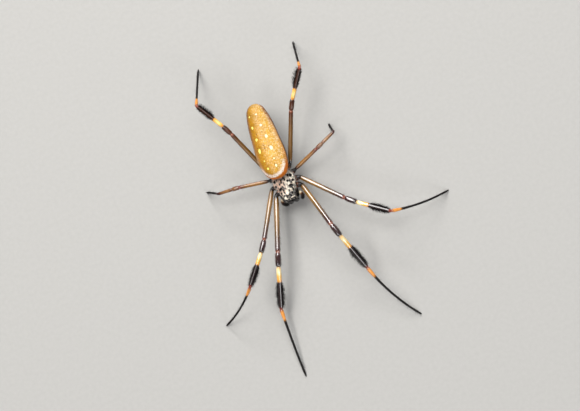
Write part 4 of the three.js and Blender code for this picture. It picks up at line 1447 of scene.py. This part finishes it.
def sternum_colour(write, place_on):
    """Dark with a paler saddle across the front part."""
    y = write.math("DIVIDE", write.minus(write.split(place_on)["Y"], SHIFT.y), MM)
    y = write.plus(y, write.wander(place_on, 1300.0, 0.9))
    return write.tints(write.math("DIVIDE", write.plus(y, 4.0), 8.0), (0.3, 40, 22, 16),
                       (0.36, 150, 96, 44), (0.5, 160, 104, 48), (0.6, 46, 26, 18))


def feeler_colour(write, place_on, map_name):
    """Pale cream at the feeler's base, brightened to near white as a painted highlight; black from its first
    bend to the tip.
    """
    v = write.plus(write.split(write.uv(map_name))["Y"], write.wander(place_on, 2200.0, 0.08))
    return write.tints(v, (0.0, 150, 110, 80), (0.1, 250, 236, 204), (0.3, 250, 236, 204),
                       (0.35, 128, 84, 50), (0.4, 40, 20, 14), (0.6, 14, 9, 8), (1.0, 9, 7, 6))


# ---------------------------------------------------------- floor, light, camera

CAMERA_LEAN = (11, 4)    # degrees to the animal's left and forward
CAMERA_ROLL = -24.5      # degrees
FRAME_WIDTH = 0.1595     # metres across the view, at the animal
# Each soft light's degrees from the camera's axis and round it, size in metres, power, colour.
WHITE = (1, 1, 1)
LIGHTS = {
    "key": (41, 134, (0.34, 1.15), 10.9, (1.0, 0.985, 0.96)),
    "fill": (38, -120, (0.36, 0.36), 1.9, (0.97, 0.98, 1.0)),
    "accent": (53, -54, (0.3, 0.3), 2.4, WHITE),
    "top": (21, 104, (0.75, 0.32), 4.4, WHITE),
    "tail": (62, 112, (0.5, 0.17), 3.2, WHITE),
}
DAYLIGHT = (0.9, 0.93, 1.0)


def stand(shape, at, right, up, toward):
    """Put a light or camera at a place; it looks the opposite way from toward."""
    turned = Matrix((right, up, toward)).transposed().to_4x4()
    shape.matrix_world = Matrix.Translation(at) @ turned


def add_floor():
    start_alone()
    bpy.ops.mesh.primitive_plane_add(size=3.0, location=MIDDLE)
    floor = bpy.context.object
    floor.name = "floor"
    material, write, place_on = new_material("floor_paper")
    tone = write.ramp(write.noise(place_on, 900.0), (0.3, (0.37, 0.362, 0.345)),
                      (0.7, (0.39, 0.382, 0.365)))
    write.shader(Base_Color=tone, Roughness=0.85)
    floor.data.materials.append(material)


def add_camera():
    """Nearly straight above, leaning and rolled; returns its aim and its right, up and toward."""
    left, forward = (math.tan(math.radians(degrees)) for degrees in CAMERA_LEAN)
    toward = Vector((left, -forward, 1)).normalized()
    right = (Vector((1, 0, 0)) - toward * toward.x).normalized()
    up = toward.cross(right)
    roll = math.radians(CAMERA_ROLL)
    right, up = (right * math.cos(roll) + up * math.sin(roll),
                 up * math.cos(roll) - right * math.sin(roll))
    aim = place((0, 0, 6.5)) + (right * 1.086 - up * 6.07) * MM
    camera = bpy.data.cameras.new("camera")
    camera.lens, camera.sensor_width = 180, 36
    camera.clip_start, camera.clip_end = 0.01, 20
    shape = linked("camera", camera)
    stand(shape, aim + toward * FRAME_WIDTH * camera.lens / camera.sensor_width, right, up, toward)
    bpy.context.scene.camera = shape
    return aim, right, up, toward


def add_lights(aim, right, up, toward):
    """Rectangular soft lights, each a metre off, and dim daylight all round."""
    for name, (tilt, around, size, power, colour) in LIGHTS.items():
        tilt, around = math.radians(tilt), math.radians(around)
        aside = right * math.cos(around) + up * math.sin(around)
        way = toward * math.cos(tilt) + aside * math.sin(tilt)
        light = bpy.data.lights.new(name, "AREA")
        light.shape = "RECTANGLE"
        light.size, light.size_y = size
        light.energy = power
        light.color = colour
        across = up.cross(way).normalized()
        stand(linked(name, light), aim + way, across, way.cross(across), way)
    world = bpy.data.worlds.new("studio")
    world.use_nodes = True
    world.node_tree.nodes["Background"].inputs["Color"].default_value = (*DAYLIGHT, 1)
    world.node_tree.nodes["Background"].inputs["Strength"].default_value = 0.2
    bpy.context.scene.world = world
    bpy.context.scene.view_settings.view_transform = "Standard"


# ------------------------------------------------------------------------ build

add_lights(*add_camera())
add_floor()

setae_dark = dark_hair("setae_dark", (0.002, 0.0015, 0.001), (0.006, 0.004, 0.003), 0.5, 0.1)
build_legs(dark_hair("brush_black", (0.002, 0.0015, 0.0015), (0.006, 0.004, 0.004), 0.6, 0.15),
           plain_horn("claw_horn", (0.02, 0.008, 0.006), (0.05, 0.02, 0.012), 0.2, fineness=2.0))
build_carapace(horn_material("carapace_shell", carapace_colour, 0.8, 0.24, 0.3, Coat_Weight=0.12,
                             Coat_Roughness=0.08, Specular_IOR_Level=0.25),
               marked_hair("silver_hair", carapace_colour, 0.28, srgb(255, 252, 244), 0.4, 0.25),
               setae_dark)
build_sternum(horn_material("breastplate_horn", sternum_colour, 0.8, 0.3, 0.35),
              marked_hair("breastplate_hair", sternum_colour, 0.6, (0.01, 0.006, 0.004)))
# The abdomen's hair is drawn a little toward pale straw as a painted sheen.
build_abdomen(abdomen_skin(),
              marked_hair("abdomen_hair", functools.partial(abdomen_colour, map_name="OFBake"), 0.06,
                          srgb(244, 226, 180), shine=0.15))
build_waist(plain_horn("waist_horn", (0.16, 0.08, 0.04), (0.25, 0.14, 0.07), 0.4, 0.0))
build_spinnerets(plain_horn("spinneret_horn", srgb(96, 62, 38), srgb(150, 106, 62), 0.4, 0.1, 0.8))
build_mouthparts(
    plain_horn("jaw_horn", (0.004, 0.003, 0.003), (0.01, 0.006, 0.005), 0.12, 0.25, 1.0, 0.12),
    plain_horn("fang_horn", (0.03, 0.008, 0.006), (0.08, 0.02, 0.012), 0.15, fineness=2.0),
    horn_material("feeler_horn", functools.partial(feeler_colour, map_name="LegMap"), 1.0, 0.26,
                  0.3, 0.02, Specular_IOR_Level=0.25),
    setae_dark,
    marked_hair("feeler_hair", functools.partial(feeler_colour, map_name="OFBake"), 0.2,
                (0.004, 0.003, 0.002)))
build_eyes(plain_horn("eye_black", (0.006, 0.005, 0.006), (0.02, 0.012, 0.01), 0.05, 1.0, 0.4, 0.05))
start_alone()
